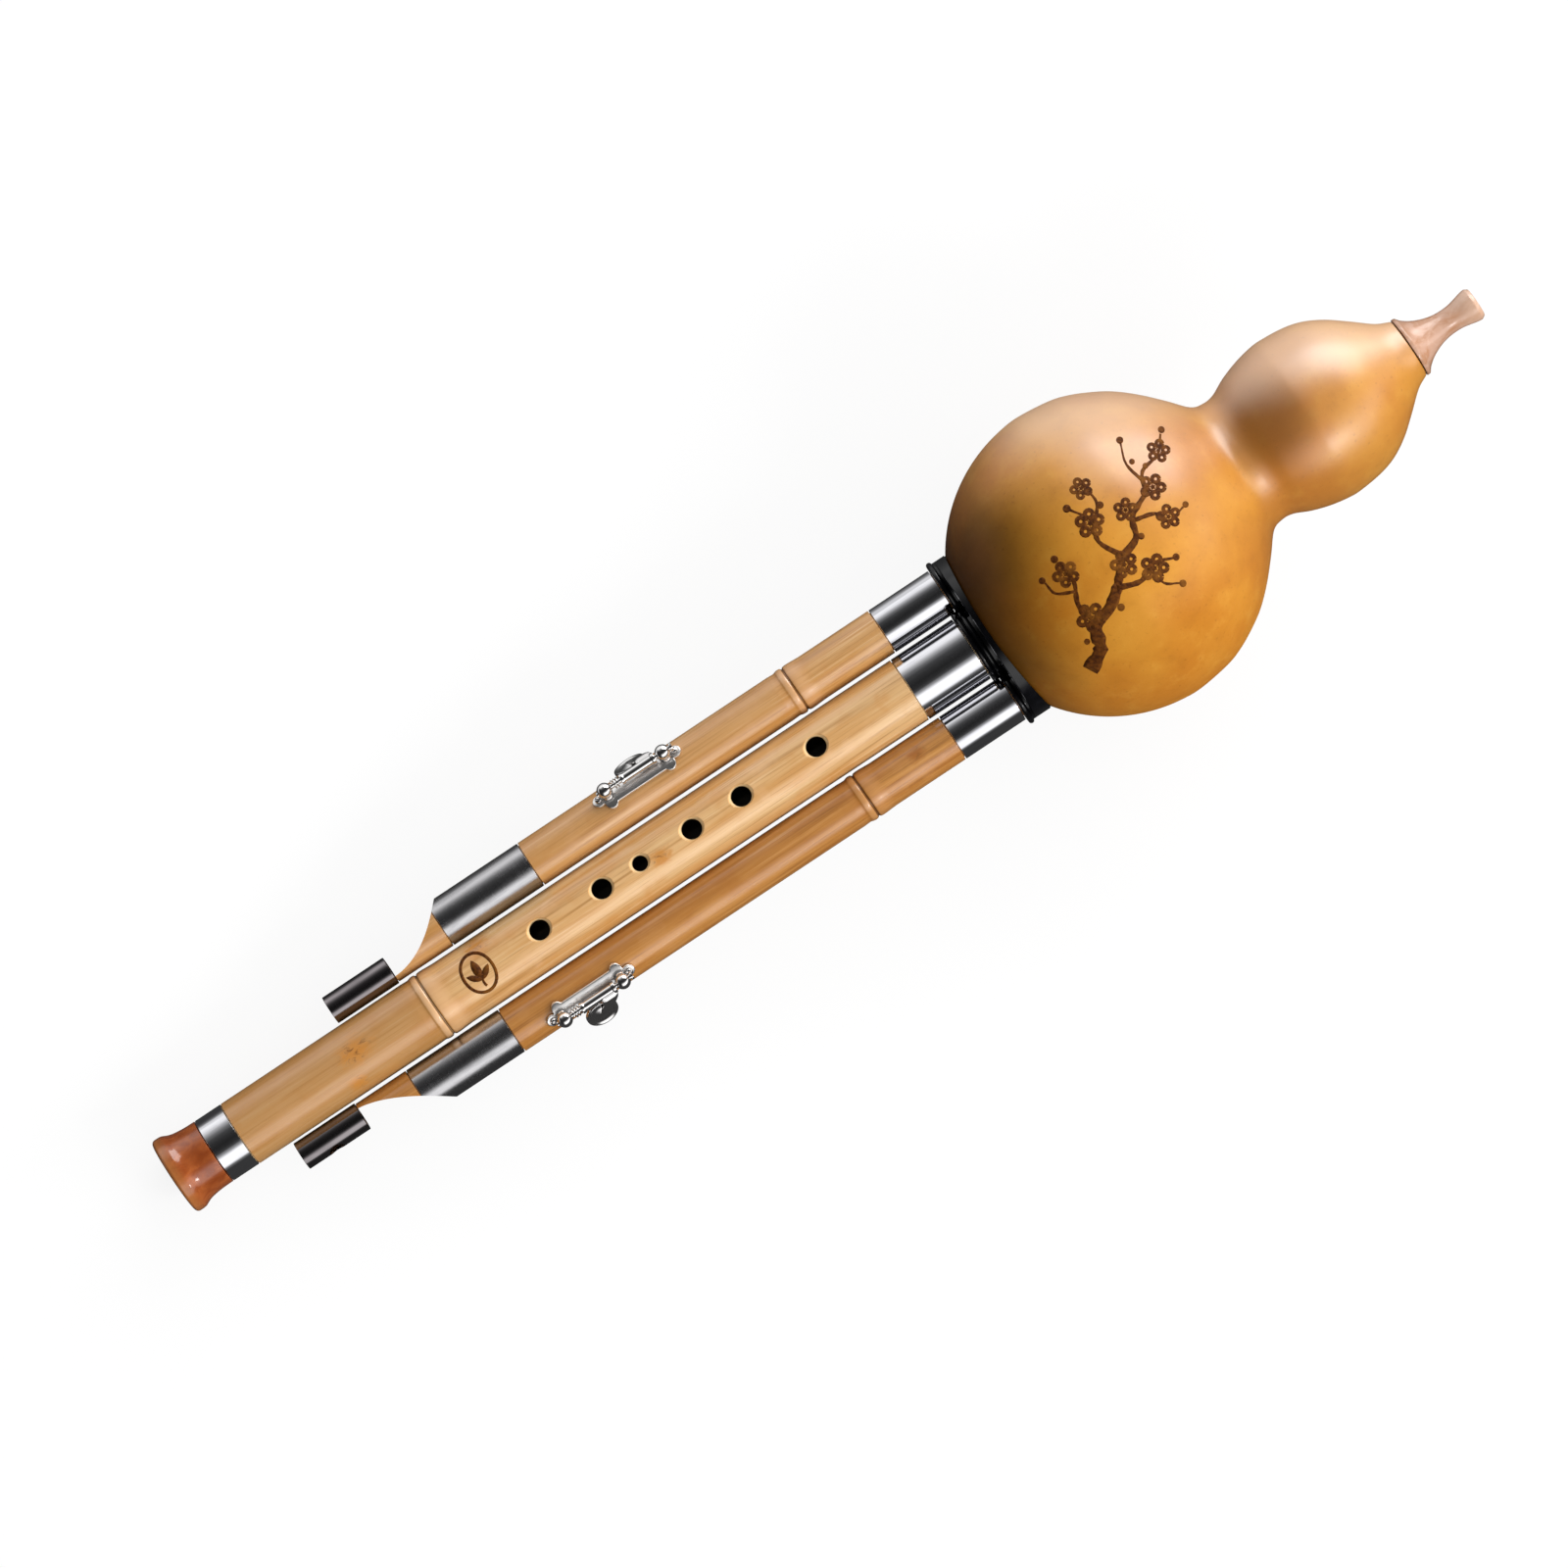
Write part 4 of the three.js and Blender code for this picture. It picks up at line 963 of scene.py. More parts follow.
def make_socket_base():
    places = [side * DRONE_OFFSET for side in SIDE.values()]
    made = collar(0, MELODY_BORE, MELODY_COLLAR_WALL, 2)
    collars = [shifted(collar(OUTER_MOUTH, DRONE_BORE, COLLAR_WALL, 1), y=y) for y in places]
    joined(made, *collars, base_plate())
    ball, back = BULB_RADIUS + FIT, GOURD_MOUTH - FIT
    scribe = turned([(BULB_CENTRE - ball * math.cos(angle), ball * math.sin(angle))
                     for angle in turns(96)], 160)
    cut(made, trimmed(moved(scribe, LEAN_MATRIX), rod(back, back + ball, ball)))
    joined(made, *plug_rounds(PLATE_START + PLATE_BEVEL, SOCKET_END))
    reliefs = [shifted(rod(-OVERRUN, OUTER_MOUTH, DRONE_RADIUS + FIT), y=y) for y in places]
    bores = [socket_bore(OUTER_MOUTH, DRONE_BORE, y) for y in places]
    cut(made, socket_bore(0, MELODY_BORE, 0), *bores, *reliefs)
    return install(made, "socket_base", socket_material)


print("socket base", len(make_socket_base().data.polygons), "faces")

# %% [markdown]
# Bamboo is a bundle of fibres. Its colour changes quickly round the pipe and hardly at all along
# it, so the noise that paints it is stretched along x. Finer stretched noise gives the dark fibre
# lines. Nodes carry an orange tint, a painted highlight on the ridge and the swelling, painted
# shade in the groove and a band of painted shade below them. A leaf scar is a small dark whorl.
# Where a tool has cut into the wall the wood is paler, and the bore is painted near black, for its
# dark lacquer and for the shade inside it. One function makes the look of each pipe from its
# radius, its place and its colours.

# %% Look of bamboo
MELODY_LENGTH = 260.0
MELODY_NODE = -MELODY_LENGTH * 0.708
MELODY_WALL = 2.95
DRONE_NODE = OUTER_MOUTH - 50.5
DRONE_WALL = 2.55
NODE_WOBBLE = 0.12
SCAR_STRENGTH = 0.85


def scar_masks(look, dx, dy, z, size):
    """A soft stain and the small dark flecks in it, round a point of the front side."""
    far = (dx * dx / (size * size) + dy * dy / (size * size * 0.5)) ** 0.5
    whorl = look.noise(1.0, 5, 0.65, 0.8, stretch=(0.3, 0.7))
    front = look.rise(z, 0.0, 2.0)
    stain = look.rise(far + (whorl - 0.5) * 1.8, 1.1, 0.1) * front
    flecks = look.rise(far, 1.0, 0.2) * look.rise(whorl, 0.52, 0.68) * front
    return stain * SCAR_STRENGTH, flecks * SCAR_STRENGTH


def bamboo_look(name, axis_y, radius, wall, colours, nodes, scars):
    """nodes: station, spread of the tint, strength of the painted shade below. scars: place and size."""
    light, body, dark, pale, tint, groove_shade, scar, cut_wood, shade_below_node, pale_and_ridge_highlight = colours.split()
    look = Look(name, {"Specular IOR Level": 0.3, "Coat Weight": 0.9, "Coat IOR": 1.75,
                       "Coat Roughness": 0.2})
    x, y, z = look.split(look.at)
    off = y - axis_y
    reach = (off * off + z * z) ** 0.5
    bands = look.noise(1.0, 3, 0.6, stretch=(0.012, 0.16))
    streaks = look.noise(1.0, 4, 0.6, stretch=(0.022, 0.9))
    fibres = look.noise(1.0, 2, 0.6, stretch=(0.05, 4.2))
    blush = look.noise(0.09, 3)
    wood = look.layered(
        light, (bands, 0.35, 0.66, 1, body), (streaks, 0.5, 0.75, 0.6, dark),
        (streaks, 0.46, 0.26, 0.5, pale), (fibres, 0.56, 0.72, 0.5, dark),
        (blush, 0.55, 0.75, 0.35, tint), (blush, 0.45, 0.28, 0.3, pale_and_ridge_highlight))
    for station, spread_of_tint, below in nodes:
        from_node = x - station + NODE_WOBBLE * off / radius
        # The second layer paints shade below the node, where the pipe narrows.
        wood = look.layered(
            wood, (abs(from_node + (blush - 0.5) * 16), spread_of_tint, 0.0, 0.4, tint),
            (from_node + (bands - 0.5) * 5, 0.5, -3.5, below, shade_below_node))
        # Paler ridge and swelling: a painted highlight. The same colour also gives the random pale blush.
        swelling = look.rise(from_node + (blush - 0.5) * 6, 7.0, 3.0)
        swelling = swelling * look.rise(from_node, 0.3, 0.9)
        ridge = look.rise(abs(from_node + 1.2), 1.15, 0.7)
        wood = look.mix((ridge * 0.75).most(swelling * 0.45), wood, pale_and_ridge_highlight)
        # The groove gets a thin dark line of painted shade.
        wood = look.layered(wood, (abs(from_node), 0.5, 0.2, 0.9, groove_shade))
    for sx, sy, size in scars:
        stain, flecks = scar_masks(look, x - sx, off - sy, z, size)
        wood = look.mix(flecks, look.mix(stain, wood, tint), scar)
    inside = look.rise(reach, radius - 0.12, radius - 0.5)
    wood = look.mix(inside, wood, cut_wood)
    bore = radius - wall
    # The bore's dark lacquer and the shade inside it are painted near black.
    wood = look.layered(wood, (reach, bore + 1.5, bore + 0.4, 1, "160c05"))
    return look.finished(wood, 0.4 + (streaks - 0.5) * 0.2 + inside * 0.2,
                         streaks * 0.5 + fibres * 0.5, 0.3, 0.12)


# light, body, dark, pale, tint, painted groove shade, scar, cut wood, painted shade below the node, pale blush and
# painted ridge highlight
golden = "dab07a cb9657 9a6628 eccfa2 c4802f 5d350e 6b3c0e e3c290 a56f30 dfb283"
tan = "cfa068 bd8746 8d5a22 e4c090 b87633 553010 6b3c0e b88247 a66f33 d2a272"
orange = "bf8440 a96a25 764212 d8a464 a3601c 4a270a 5a320c a97138 9a6322 c48c52"

melody_material = bamboo_look(
    "melody_bamboo", 0, MELODY_RADIUS, MELODY_WALL, golden, [(MELODY_NODE, 13.0, 0.62)],
    [(-210.0, 1.5, 7.0), (-214.0, -6.5, 3.5), (-107.0, -0.5, 4.5), (-165.0, 7.3, 5.5)])
drone_materials = {
    "left": bamboo_look("left_bamboo", DRONE_OFFSET, DRONE_RADIUS, DRONE_WALL, tan,
                        [(DRONE_NODE, 8.0, 0.25)], []),
    "right": bamboo_look("right_bamboo", -DRONE_OFFSET, DRONE_RADIUS, DRONE_WALL, orange,
                         [(DRONE_NODE, 8.0, 0.2)], [(-30.0, 2.0, 4.0)]),
}
print("bamboo looks:", melody_material.name, *(look.name for look in drone_materials.values()))

# %% [markdown]
# A bamboo node is two things close together: the scar of the old leaf sheath, which is a thin
# ridge, and the swelling behind it. They never run quite square round the cane, so the ring is
# tilted a little after it is turned. The melody pipe then gets its six finger holes, the thumb
# hole behind and the small countersink that takes the sharp edge off each of them.

# %% Melody pipe
FERRULE_WALL = 0.55
FERRULE_LIP = 0.8
FERRULE_EDGE = 0.16
MELODY_FERRULE = 21.2
MELODY_TENON = 8.6
MELODY_TENON_LENGTH = 13.0
HOLE_CHAMFER = 0.9
HOLE_TURN = -8 * DEGREE
HOLE_RADIUS = 3.0
SMALL_HOLE_RADIUS = 2.3
SMALL_HOLE_SHARE = 0.4342
BELL_TOP = -MELODY_LENGTH
BELL_FERRULE = 8.6
NODE_REACH = 9.0
finger_hole_shares = [0.2027, 0.3012, 0.3662, SMALL_HOLE_SHARE, 0.4846, 0.5662]
thumb_hole_share = 0.143
node_shape = [(-5.0, 0.0), (-3.8, -0.07), (-2.8, -0.08), (-2.3, 0.08), (-1.7, 0.22), (-1.2, 0.25),
              (-0.6, 0.18), (-0.28, -0.05), (0.0, -0.3), (0.28, -0.02), (0.8, 0.18), (2.2, 0.22),
              (4.0, 0.1), (6.0, 0.0)]


def upper_part(node, radius, wall, ferrule, tenon, tenon_length):
    """A pipe's outline from its node up: the seat of its ferrule and the tenon."""
    flow = [(node + along_x, radius + rise) for along_x, rise in node_shape]
    seat, step = radius - FERRULE_WALL - FIT, -FIT - FERRULE_LIP - FIT
    return [
        *smooth_curve(flow, 3), (-ferrule - FIT, radius), (-ferrule - FIT, seat), (step, seat),
        (step, tenon), (tenon_length, tenon), (tenon_length, radius - wall),
    ]


def tilt_node(made, station, radius):
    """Leans the ring of a node, so that it isn't square to the pipe."""
    for point in made.data.vertices:
        near = max(0.0, 1 - abs(point.co.x - station) / NODE_REACH)
        point.co.x -= NODE_WOBBLE * near * near * point.co.y / radius
    return made


def finger_hole(share, radius, angle):
    height = MELODY_RADIUS + OVERRUN
    shoulder = MELODY_RADIUS - HOLE_CHAMFER
    tool = upright(turned([
        (0, 0), (0, radius), (shoulder - 0.35, radius), (shoulder + 0.05, radius + 0.12),
        (height, radius + height - shoulder), (height, 0),
    ], 64))
    return spun(shifted(tool, x=-MELODY_LENGTH * share), angle)


def make_melody_pipe():
    seat = MELODY_RADIUS - FERRULE_WALL - FIT
    start, lower = BELL_TOP + FIT, BELL_TOP + BELL_FERRULE + FIT + FIT
    made = turned([
        (start, MELODY_RADIUS - MELODY_WALL), (start, seat), (lower, seat), (lower, MELODY_RADIUS),
        *upper_part(MELODY_NODE, MELODY_RADIUS, MELODY_WALL, MELODY_FERRULE, MELODY_TENON,
                    MELODY_TENON_LENGTH),
    ], 128, edge=0.12)
    tilt_node(made, MELODY_NODE, MELODY_RADIUS)
    sizes = {SMALL_HOLE_SHARE: SMALL_HOLE_RADIUS}
    holes = [finger_hole(share, sizes.get(share, HOLE_RADIUS), HOLE_TURN)
             for share in finger_hole_shares]
    cut(made, *holes, finger_hole(thumb_hole_share, HOLE_RADIUS, math.pi + HOLE_TURN))
    return install(made, "melody_pipe", melody_material, pipe_axis=0)


print("melody pipe", len(make_melody_pipe().data.polygons), "faces")

# %% [markdown]
# Makers burn a small oval stamp below the last finger hole. This one is plain ornament: the oval
# with a sprig of three leaves inside. The strokes are drawn on the flat and wrapped round the
# pipe, which is why the height of the surface comes from the pipe's radius.

# %% Burnt stamp on the melody pipe
STAMP_X = -168.4
STAMP_Y = 0.7
STAMP_HALF_LENGTH = 4.7
STAMP_HALF_WIDTH = 6.3
STAMP_LINE = 0.46
LEAF_FOOT = (0, -2.4)
LEAF_STEPS = 9
LEAF_WIDTH = 0.38


def leaf(heading, length):
    """A lens-shaped leaf."""
    stroke = []
    for step in range(LEAF_STEPS + 1):
        share = step / LEAF_STEPS
        x = LEAF_FOOT[0] + length * share * math.cos(heading)
        y = LEAF_FOOT[1] + length * share * math.sin(heading)
        swell = length * LEAF_WIDTH / 2 * math.sin(math.pi * share) ** 0.8
        stroke.append((x, y, FINEST + swell))
    return stroke


def on_pipe(x, arc, half):
    return (STAMP_X + x, STAMP_Y + MELODY_RADIUS * math.sin(arc / MELODY_RADIUS), half)


def pipe_height(x, y):
    return math.sqrt(MELODY_RADIUS ** 2 - y ** 2)


def make_stamp():
    strokes = [[(STAMP_HALF_LENGTH * math.cos(angle), STAMP_HALF_WIDTH * math.sin(angle),
                 STAMP_LINE) for angle in turns(32, start, start + math.pi)]
               for start in (0, math.pi)]
    strokes += [leaf(heading * DEGREE, length)
                for heading, length in ((90, 6.6), (40, 4.8), (140, 4.8))]
    strokes.append(line((0, -4.6), (0, -2.2), 0.4, 0.34, 0.08))
    strokes = [[on_pipe(*point) for point in stroke] for stroke in strokes]
    made = lay_strokes("melody_stamp", strokes, pipe_height, columns=2)
    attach(made, "melody")
    return len(strokes)


print("stamp of", make_stamp(), "strokes")

# %% [markdown]
# The end ferrules are polished until they mirror the room, the middle ferrules of the drones are
# left with fine turning lines, the small tail sleeves are darkened steel, the keys are nickel,
# cast or plated, and the reeds are brass. Polished metal gets its look from what it reflects, so
# its nodes only vary the roughness with faint wipe marks. A turned finish has thousands of grooves
# round the ring: noise that changes quickly along x and not at all round it.

# %% Looks of the metals
def metal_look(name, tone, dull_tone, roughness, lines, line_strength):
    look = Look(name, {"Metallic": 1.0})
    wipes = look.noise(1.0, 4, 0.6, stretch=(0.08, 0.5))
    turning = look.noise(1.0, 2, 0.7, stretch=(lines, 0.02))
    specks = look.noise(1.6, 3)
    colour = look.layered(tone, (wipes, 0.4, 0.75, 0.6, dull_tone))
    spotted = look.rise(wipes, 0.45, 0.8) * 0.5 + look.rise(specks, 0.6, 0.8) * 0.3
    return look.finished(colour, roughness * (0.85 + spotted + (turning - 0.5) * 0.5),
                         turning * 0.8 + wipes * 0.4, line_strength, 0.02)


polished_metal = metal_look("polished_metal", "dcdce0", "c6c6cc", 0.09, 1.2, 0.015)
brushed_metal = metal_look("turned_metal", "b8b7b9", "9a999c", 0.25, 4.0, 0.2)
sleeve_metal = metal_look("darkened_steel", "8a8486", "6d686a", 0.14, 2.0, 0.03)
nickel = metal_look("nickel_plate", "e8e6e5", "cbc8c6", 0.13, 0.8, 0.012)
cast_nickel = metal_look("cast_nickel", "f2f0ee", "d6d3d1", 0.36, 0.8, 0.06)
reed_metal = metal_look("drawn_brass", "d6ad5e", "b88a3c", 0.25, 2.0, 0.2)

# %% Look of the bell
BELL_LENGTH = 13.6
BELL_END = BELL_TOP - BELL_LENGTH


def bell_look():
    look = Look("amber_resin", {"Coat Weight": 0.6, "Coat Roughness": 0.04})
    x, y, z = look.split(look.at)
    veins = look.noise(0.25, 4, 0.55, 1.5, stretch=(0.6, 1))
    depth = look.noise(0.12, 2)
    tone = look.layered(
        "8a421a", (veins, 0.32, 0.7, 1, "a25526"), (depth, 0.5, 0.75, 0.5, "74300f"),
        (x, BELL_END + 4.5, BELL_END + 0.4, 0.65, "b9773f"))
    return look.finished(tone, 0.16 + (veins - 0.5) * 0.1, depth, 0.15, 0.3)


bell_material = bell_look()
print("metals and resin ready")

# %% [markdown]
# The ferrules keep the bamboo from splitting and cover the step where the pipe is turned down.
# The upper ones have a lip that turns in over that step. The bell plugs into the pipe's lower end
# and flares to a thick rounded rim.

# %% Bell, its ferrule and the rings at a pipe's top
BELL_RIM_RADIUS = 12.0
BELL_RIM_WIDTH = 2.4
BELL_MOUTH = 9.4
BELL_BORE = 5.7
FLARE_DEPTH = 10.2
SPIGOT = 12.0
TENON_CORK = 0.5
bell_outside_shares = [(0, 1), (0.08, 0.93), (0.15, 0.76), (0.25, 0.48), (0.4, 0.24), (0.68, 0.05),
                       (1, 0)]
bell_inside_shares = [(1, 0), (0.5, 0.28), (0.2, 0.66), (0, 1)]


def make_bell():
    rim = BELL_END + BELL_RIM_WIDTH
    edge = [(BELL_END + BELL_RIM_WIDTH / 2 * (1 - math.sin(angle)),
             (BELL_RIM_RADIUS + BELL_MOUTH) / 2
             - (BELL_RIM_RADIUS - BELL_MOUTH) / 2 * math.cos(angle)) for angle in turns(8)]
    outside = spread(bell_outside_shares, rim, BELL_TOP - rim, MELODY_RADIUS, BELL_RIM_RADIUS)
    inside = spread(bell_inside_shares, BELL_END, FLARE_DEPTH, BELL_BORE, BELL_MOUTH)
    spigot = MELODY_RADIUS - MELODY_WALL - FIT
    made = turned([
        *edge, *smooth_curve(outside, 5), (BELL_TOP, spigot), (BELL_TOP + SPIGOT, spigot),
        (BELL_TOP + SPIGOT, BELL_BORE), *smooth_curve(inside, 5),
    ], 128, edge=0.1)
    return install(made, "melody_bell", bell_material, pipe_axis=0)


def ferrule_ring(start, length, radius):
    return turned(band(start, start + length, radius - FERRULE_WALL, radius), 128, FERRULE_EDGE)


def make_top_rings(name, mouth, axis_y, radius, length, tenon, tenon_length):
    """The ferrule that covers the step at a pipe's top, and the cork on its tenon."""
    inner, end, step = radius - FERRULE_WALL, mouth - FIT, tenon + FIT
    ferrule = turned([
        (mouth - length, inner), (mouth - length, radius), (end, radius), (end, step),
        (end - FERRULE_LIP, step), (end - FERRULE_LIP, inner),
    ], 128, FERRULE_EDGE)
    install(shifted(ferrule, y=axis_y), f"{name}_upper_ferrule", polished_metal, pipe_axis=axis_y)
    cork = cork_ring(tenon_length * (1 - CORK_SHARE) / 2, tenon_length * CORK_SHARE, tenon + FIT,
                     TENON_CORK)
    install(shifted(cork, x=mouth, y=axis_y), f"{name}_tenon_cork", cork_material,
            pipe_axis=axis_y)


make_bell()
install(ferrule_ring(BELL_TOP + FIT, BELL_FERRULE, MELODY_RADIUS), "bell_ferrule", polished_metal,
        pipe_axis=0)
make_top_rings("melody", 0, 0, MELODY_RADIUS, MELODY_FERRULE, MELODY_TENON, MELODY_TENON_LENGTH)
print("bell and ferrules made")

# %% [markdown]
# Each drone ends in a scooped tail: the outer side is cut away in a long curve through the middle
# ferrule and the bamboo, until only a tongue is left, and the tongue carries a small sleeve. The
# scoop's cutter is a slab whose edge is that curve. Both drones come from the same functions, with
# their own lengths and with side plus or minus one.

# %% Drone pipes
DRONE_FERRULE = 20.6
DRONE_TENON = 5.9
DRONE_TENON_LENGTH = 12.0
SLEEVE_RADIUS = 4.35
SLEEVE_WALL = 0.5
SLEEVE_LENGTH = 20.8
SLEEVE_TO_MELODY = 0.6
SLEEVE_ASIDE = SLEEVE_RADIUS + SLEEVE_TO_MELODY - DRONE_RADIUS - PIPE_GAP
SLEEVE_HOLE = 2.5
SLEEVE_HOLE_ANGLE = 72 * DEGREE
SLEEVE_HOLE_SHARE = 0.46
PEG_LENGTH = 14.0
CUP_ANGLE = 73 * DEGREE
CUP_RADIUS = 5.0
SEAT_HEIGHT = DRONE_RADIUS - 0.75
TONE_HOLE = 2.2
SCREW_RADIUS = 0.6
SCREW_OFFSET = 12.9
SCOOP_STEPS = 40
ENDS = {"lower": -1, "upper": 1}

drones = {
    "left": {"body": 169.5, "scoop": 21.6, "power": 2.0, "tongue": 1.9, "ferrule": 30.8,
             "overhang": 2.5},
    "right": {"body": 195.3, "scoop": 25.6, "power": 1.6, "tongue": 1.5, "ferrule": 31.3,
              "overhang": 8.0},
}


def in_drone(made, name):
    """From a drone's own axis, with zero at its socket's mouth, to the instrument."""
    return shifted(made, x=OUTER_MOUTH, y=SIDE[name] * DRONE_OFFSET)


def leaned_out(made, name, angle):
    """Turns something that stands on z outwards round the drone."""
    return spun(made, -SIDE[name] * angle)


def slab(corners, low, high):
    count = len(corners)
    points = [(x, y, z) for z in (low, high) for x, y in corners]
    sides = [(i, (i + 1) % count, count + (i + 1) % count, count + i) for i in range(count)]
    faces = [tuple(range(count))[::-1], tuple(range(count, 2 * count)), *sides]
    return tidy(add_object(points, faces))


def box(x0, x1, y0, y1, low, high):
    return slab([(x0, y0), (x1, y0), (x1, y1), (x0, y1)], low, high)


def scoop_tool(name):
    drone, side = drones[name], SIDE[name]
    foot = -drone["body"] - drone["scoop"]
    tail = foot - SLEEVE_LENGTH - OVERRUN
    out = DRONE_RADIUS + OVERRUN
    corners = [(tail, side * (drone["tongue"] - DRONE_RADIUS))]
    for step in range(SCOOP_STEPS + 1):
        share = step / SCOOP_STEPS
        depth = drone["tongue"] + (DRONE_RADIUS * 2 - drone["tongue"]) * share ** drone["power"]
        corners.append((foot + drone["scoop"] * share, side * (depth - DRONE_RADIUS)))
    corners += [(-drone["body"], side * out), (tail, side * out)]
    return slab(corners, -out, out)


def key_tools(name):
    """Cutters for a key's seat and tone hole and for the pilot holes of its screws."""
    reach = DRONE_RADIUS + OVERRUN
    half = CUP_RADIUS - FIT
    tools = [leaned_out(tool, name, CUP_ANGLE) for tool in (
        box(-half, half, -reach, reach, SEAT_HEIGHT, SEAT_HEIGHT + reach),
        upright(rod(0, reach, TONE_HOLE)))]
    for end in ENDS.values():
        start = DRONE_RADIUS - DRONE_WALL + 2 * FIT
        pilot = upright(rod(start, reach, SCREW_RADIUS + FIT, 24))
        tools.append(leaned_out(shifted(pilot, x=end * SCREW_OFFSET), name, HINGE_ANGLE))
    return [shifted(tool, x=-KEY_STATION[name]) for tool in tools]


def make_drone_pipe(name):
    drone = drones[name]
    seat = DRONE_RADIUS - FERRULE_WALL - FIT
    foot = -drone["body"] - drone["scoop"]
    low = -drone["body"] - drone["overhang"]
    high = low + drone["ferrule"] + FIT
    node = DRONE_NODE - OUTER_MOUTH
    made = turned([
        *band(foot - PEG_LENGTH, low - FIT, DRONE_RADIUS - DRONE_WALL, DRONE_RADIUS)[:3],
        (low - FIT, seat), (high, seat), (high, DRONE_RADIUS),
        *upper_part(node, DRONE_RADIUS, DRONE_WALL, DRONE_FERRULE, DRONE_TENON,
                    DRONE_TENON_LENGTH),
    ], 112, edge=0.1)
    tilt_node(made, node, DRONE_RADIUS)
    start = foot - PEG_LENGTH - OVERRUN
    peg = rod(start - OVERRUN, foot + OVERRUN, SLEEVE_RADIUS - SLEEVE_WALL - FIT)
    around = rod(start, foot + FIT, DRONE_RADIUS + OVERRUN)
    cut(around, shifted(peg, y=SIDE[name] * SLEEVE_ASIDE))
    cut(made, scoop_tool(name), around, *key_tools(name))
    return install(in_drone(made, name), f"{name}_drone_pipe", drone_materials[name],
                   pipe_axis=SIDE[name] * DRONE_OFFSET)


def make_mid_ferrule(name):
    drone = drones[name]
    made = ferrule_ring(-drone["body"] - drone["overhang"], drone["ferrule"], DRONE_RADIUS)
    cut(made, scoop_tool(name))
    install(in_drone(made, name), f"{name}_mid_ferrule", brushed_metal,
            pipe_axis=SIDE[name] * DRONE_OFFSET)


def make_tail_sleeve(name):
    end = -drones[name]["body"] - drones[name]["scoop"]
    start = end - SLEEVE_LENGTH
    made = turned(band(start, end, SLEEVE_RADIUS - SLEEVE_WALL, SLEEVE_RADIUS), edge=0.18)
    if name == "right":
        hole = upright(rod(0, SLEEVE_RADIUS + OVERRUN, SLEEVE_HOLE))
        leaned_out(hole, name, SLEEVE_HOLE_ANGLE)
        cut(made, shifted(hole, x=start + SLEEVE_LENGTH * SLEEVE_HOLE_SHARE))
    aside = SIDE[name] * SLEEVE_ASIDE
    shifted(in_drone(made, name), y=aside)
    install(made, f"{name}_tail_sleeve", sleeve_metal,
            pipe_axis=SIDE[name] * DRONE_OFFSET + aside)


for name, side in SIDE.items():
    pipe = make_drone_pipe(name)
    make_mid_ferrule(name)
    make_tail_sleeve(name)
    make_top_rings(name, OUTER_MOUTH, side * DRONE_OFFSET, DRONE_RADIUS, DRONE_FERRULE,
                   DRONE_TENON, DRONE_TENON_LENGTH)
    print(name, "drone pipe", len(pipe.data.polygons), "faces")

# %% [markdown]
# The reeds stay inside the gourd, where nobody sees them. Their CAD solids are already right, so
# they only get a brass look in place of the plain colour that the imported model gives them.

# %% Reeds
for node, cad_piece in frame["nodes"].items():
    if "reed" in node:
        cad_piece.data.materials.clear()
        cad_piece.data.materials.append(reed_metal)
        print("brass on", node)

# %% [markdown]
# A key is a small casting: a plate bent to the bamboo, with clover feet, two ball-headed posts
# that carry a rod, and a lever that turns on the rod and holds a padded cup over the tone hole.
# Cast and plated metal has no knife edges and every inner corner is filled. So the plate and the
# lever are built from overlapping solids, melted together with a voxel remesh and relaxed a
# little, while the posts, rod and screws stay crisp lathe work.

# %% Key sizes and frames
PLATE_INNER = DRONE_RADIUS + FIT
PLATE_OUTER = PLATE_INNER + 0.8
POST_OFFSET = 9.9
BALL_RADIUS = 2.3
COLLAR_RADIUS = 1.8
POST_FOOT = 0.15
POST_FOOT_HEIGHT = 0.3
POST_TENON = 0.8
TUBE_RADIUS = 1.7
TUBE_GROOVE = 0.25
ROD_RADIUS = 0.8
ROD_BORE = ROD_RADIUS + FIT * 0.5
ROD_HEAD_RADIUS = 1.25
ROD_HEAD = 0.7
PLATE_HALF_WIDTH = 3.2
LOBE_RADIUS = 1.9
LOBE_REACH = 2.3
SCREW_HEAD_RADIUS = 1.05
SCREW_HEAD = 0.85
SCREW_LENGTH = 2.0
WIRE_RADIUS = 0.22
WIRE_SIDES = 12
SPRING_TURNS = 2.5
SPRING_PITCH = 0.88
CUP_WALL = 0.65
CUP_DEPTH = 1.3
PAD_THICKNESS = 1.3
PAD_FOOT = SEAT_HEIGHT + FIT
CUP_CEILING = PAD_FOOT + PAD_THICKNESS + FIT
CUP_TOP = CUP_CEILING + CUP_WALL + 0.4
REST_OPENING = {"left": 0.0, "right": 18 * DEGREE}
TO_CUP = CUP_ANGLE - HINGE_ANGLE


def on_key(made, name, part, look, crease=CREASE):
    """From a key's own frame, standing on z at the hinge's angle, to the instrument."""
    leaned_out(made, name, HINGE_ANGLE)
    in_drone(shifted(made, x=-KEY_STATION[name]), name)
    install(made, f"{name}_key_{part}", look, crease=crease)


def on_lever(made, name, part, look, crease):
    """From the cup's frame, standing on z at the cup's angle, to the instrument at rest."""
    side = SIDE[name]
    leaned_out(made, name, CUP_ANGLE)
    hinge = Vector((0, side * HINGE_ASIDE, HINGE_ABOVE))
    moved(made, Matrix.Translation(hinge) @ Matrix.Rotation(side * REST_OPENING[name], 4, "X")
          @ Matrix.Translation(-hinge))
    in_drone(shifted(made, x=-KEY_STATION[name]), name)
    return install(made, f"{name}_key_{part}", look, crease=crease)


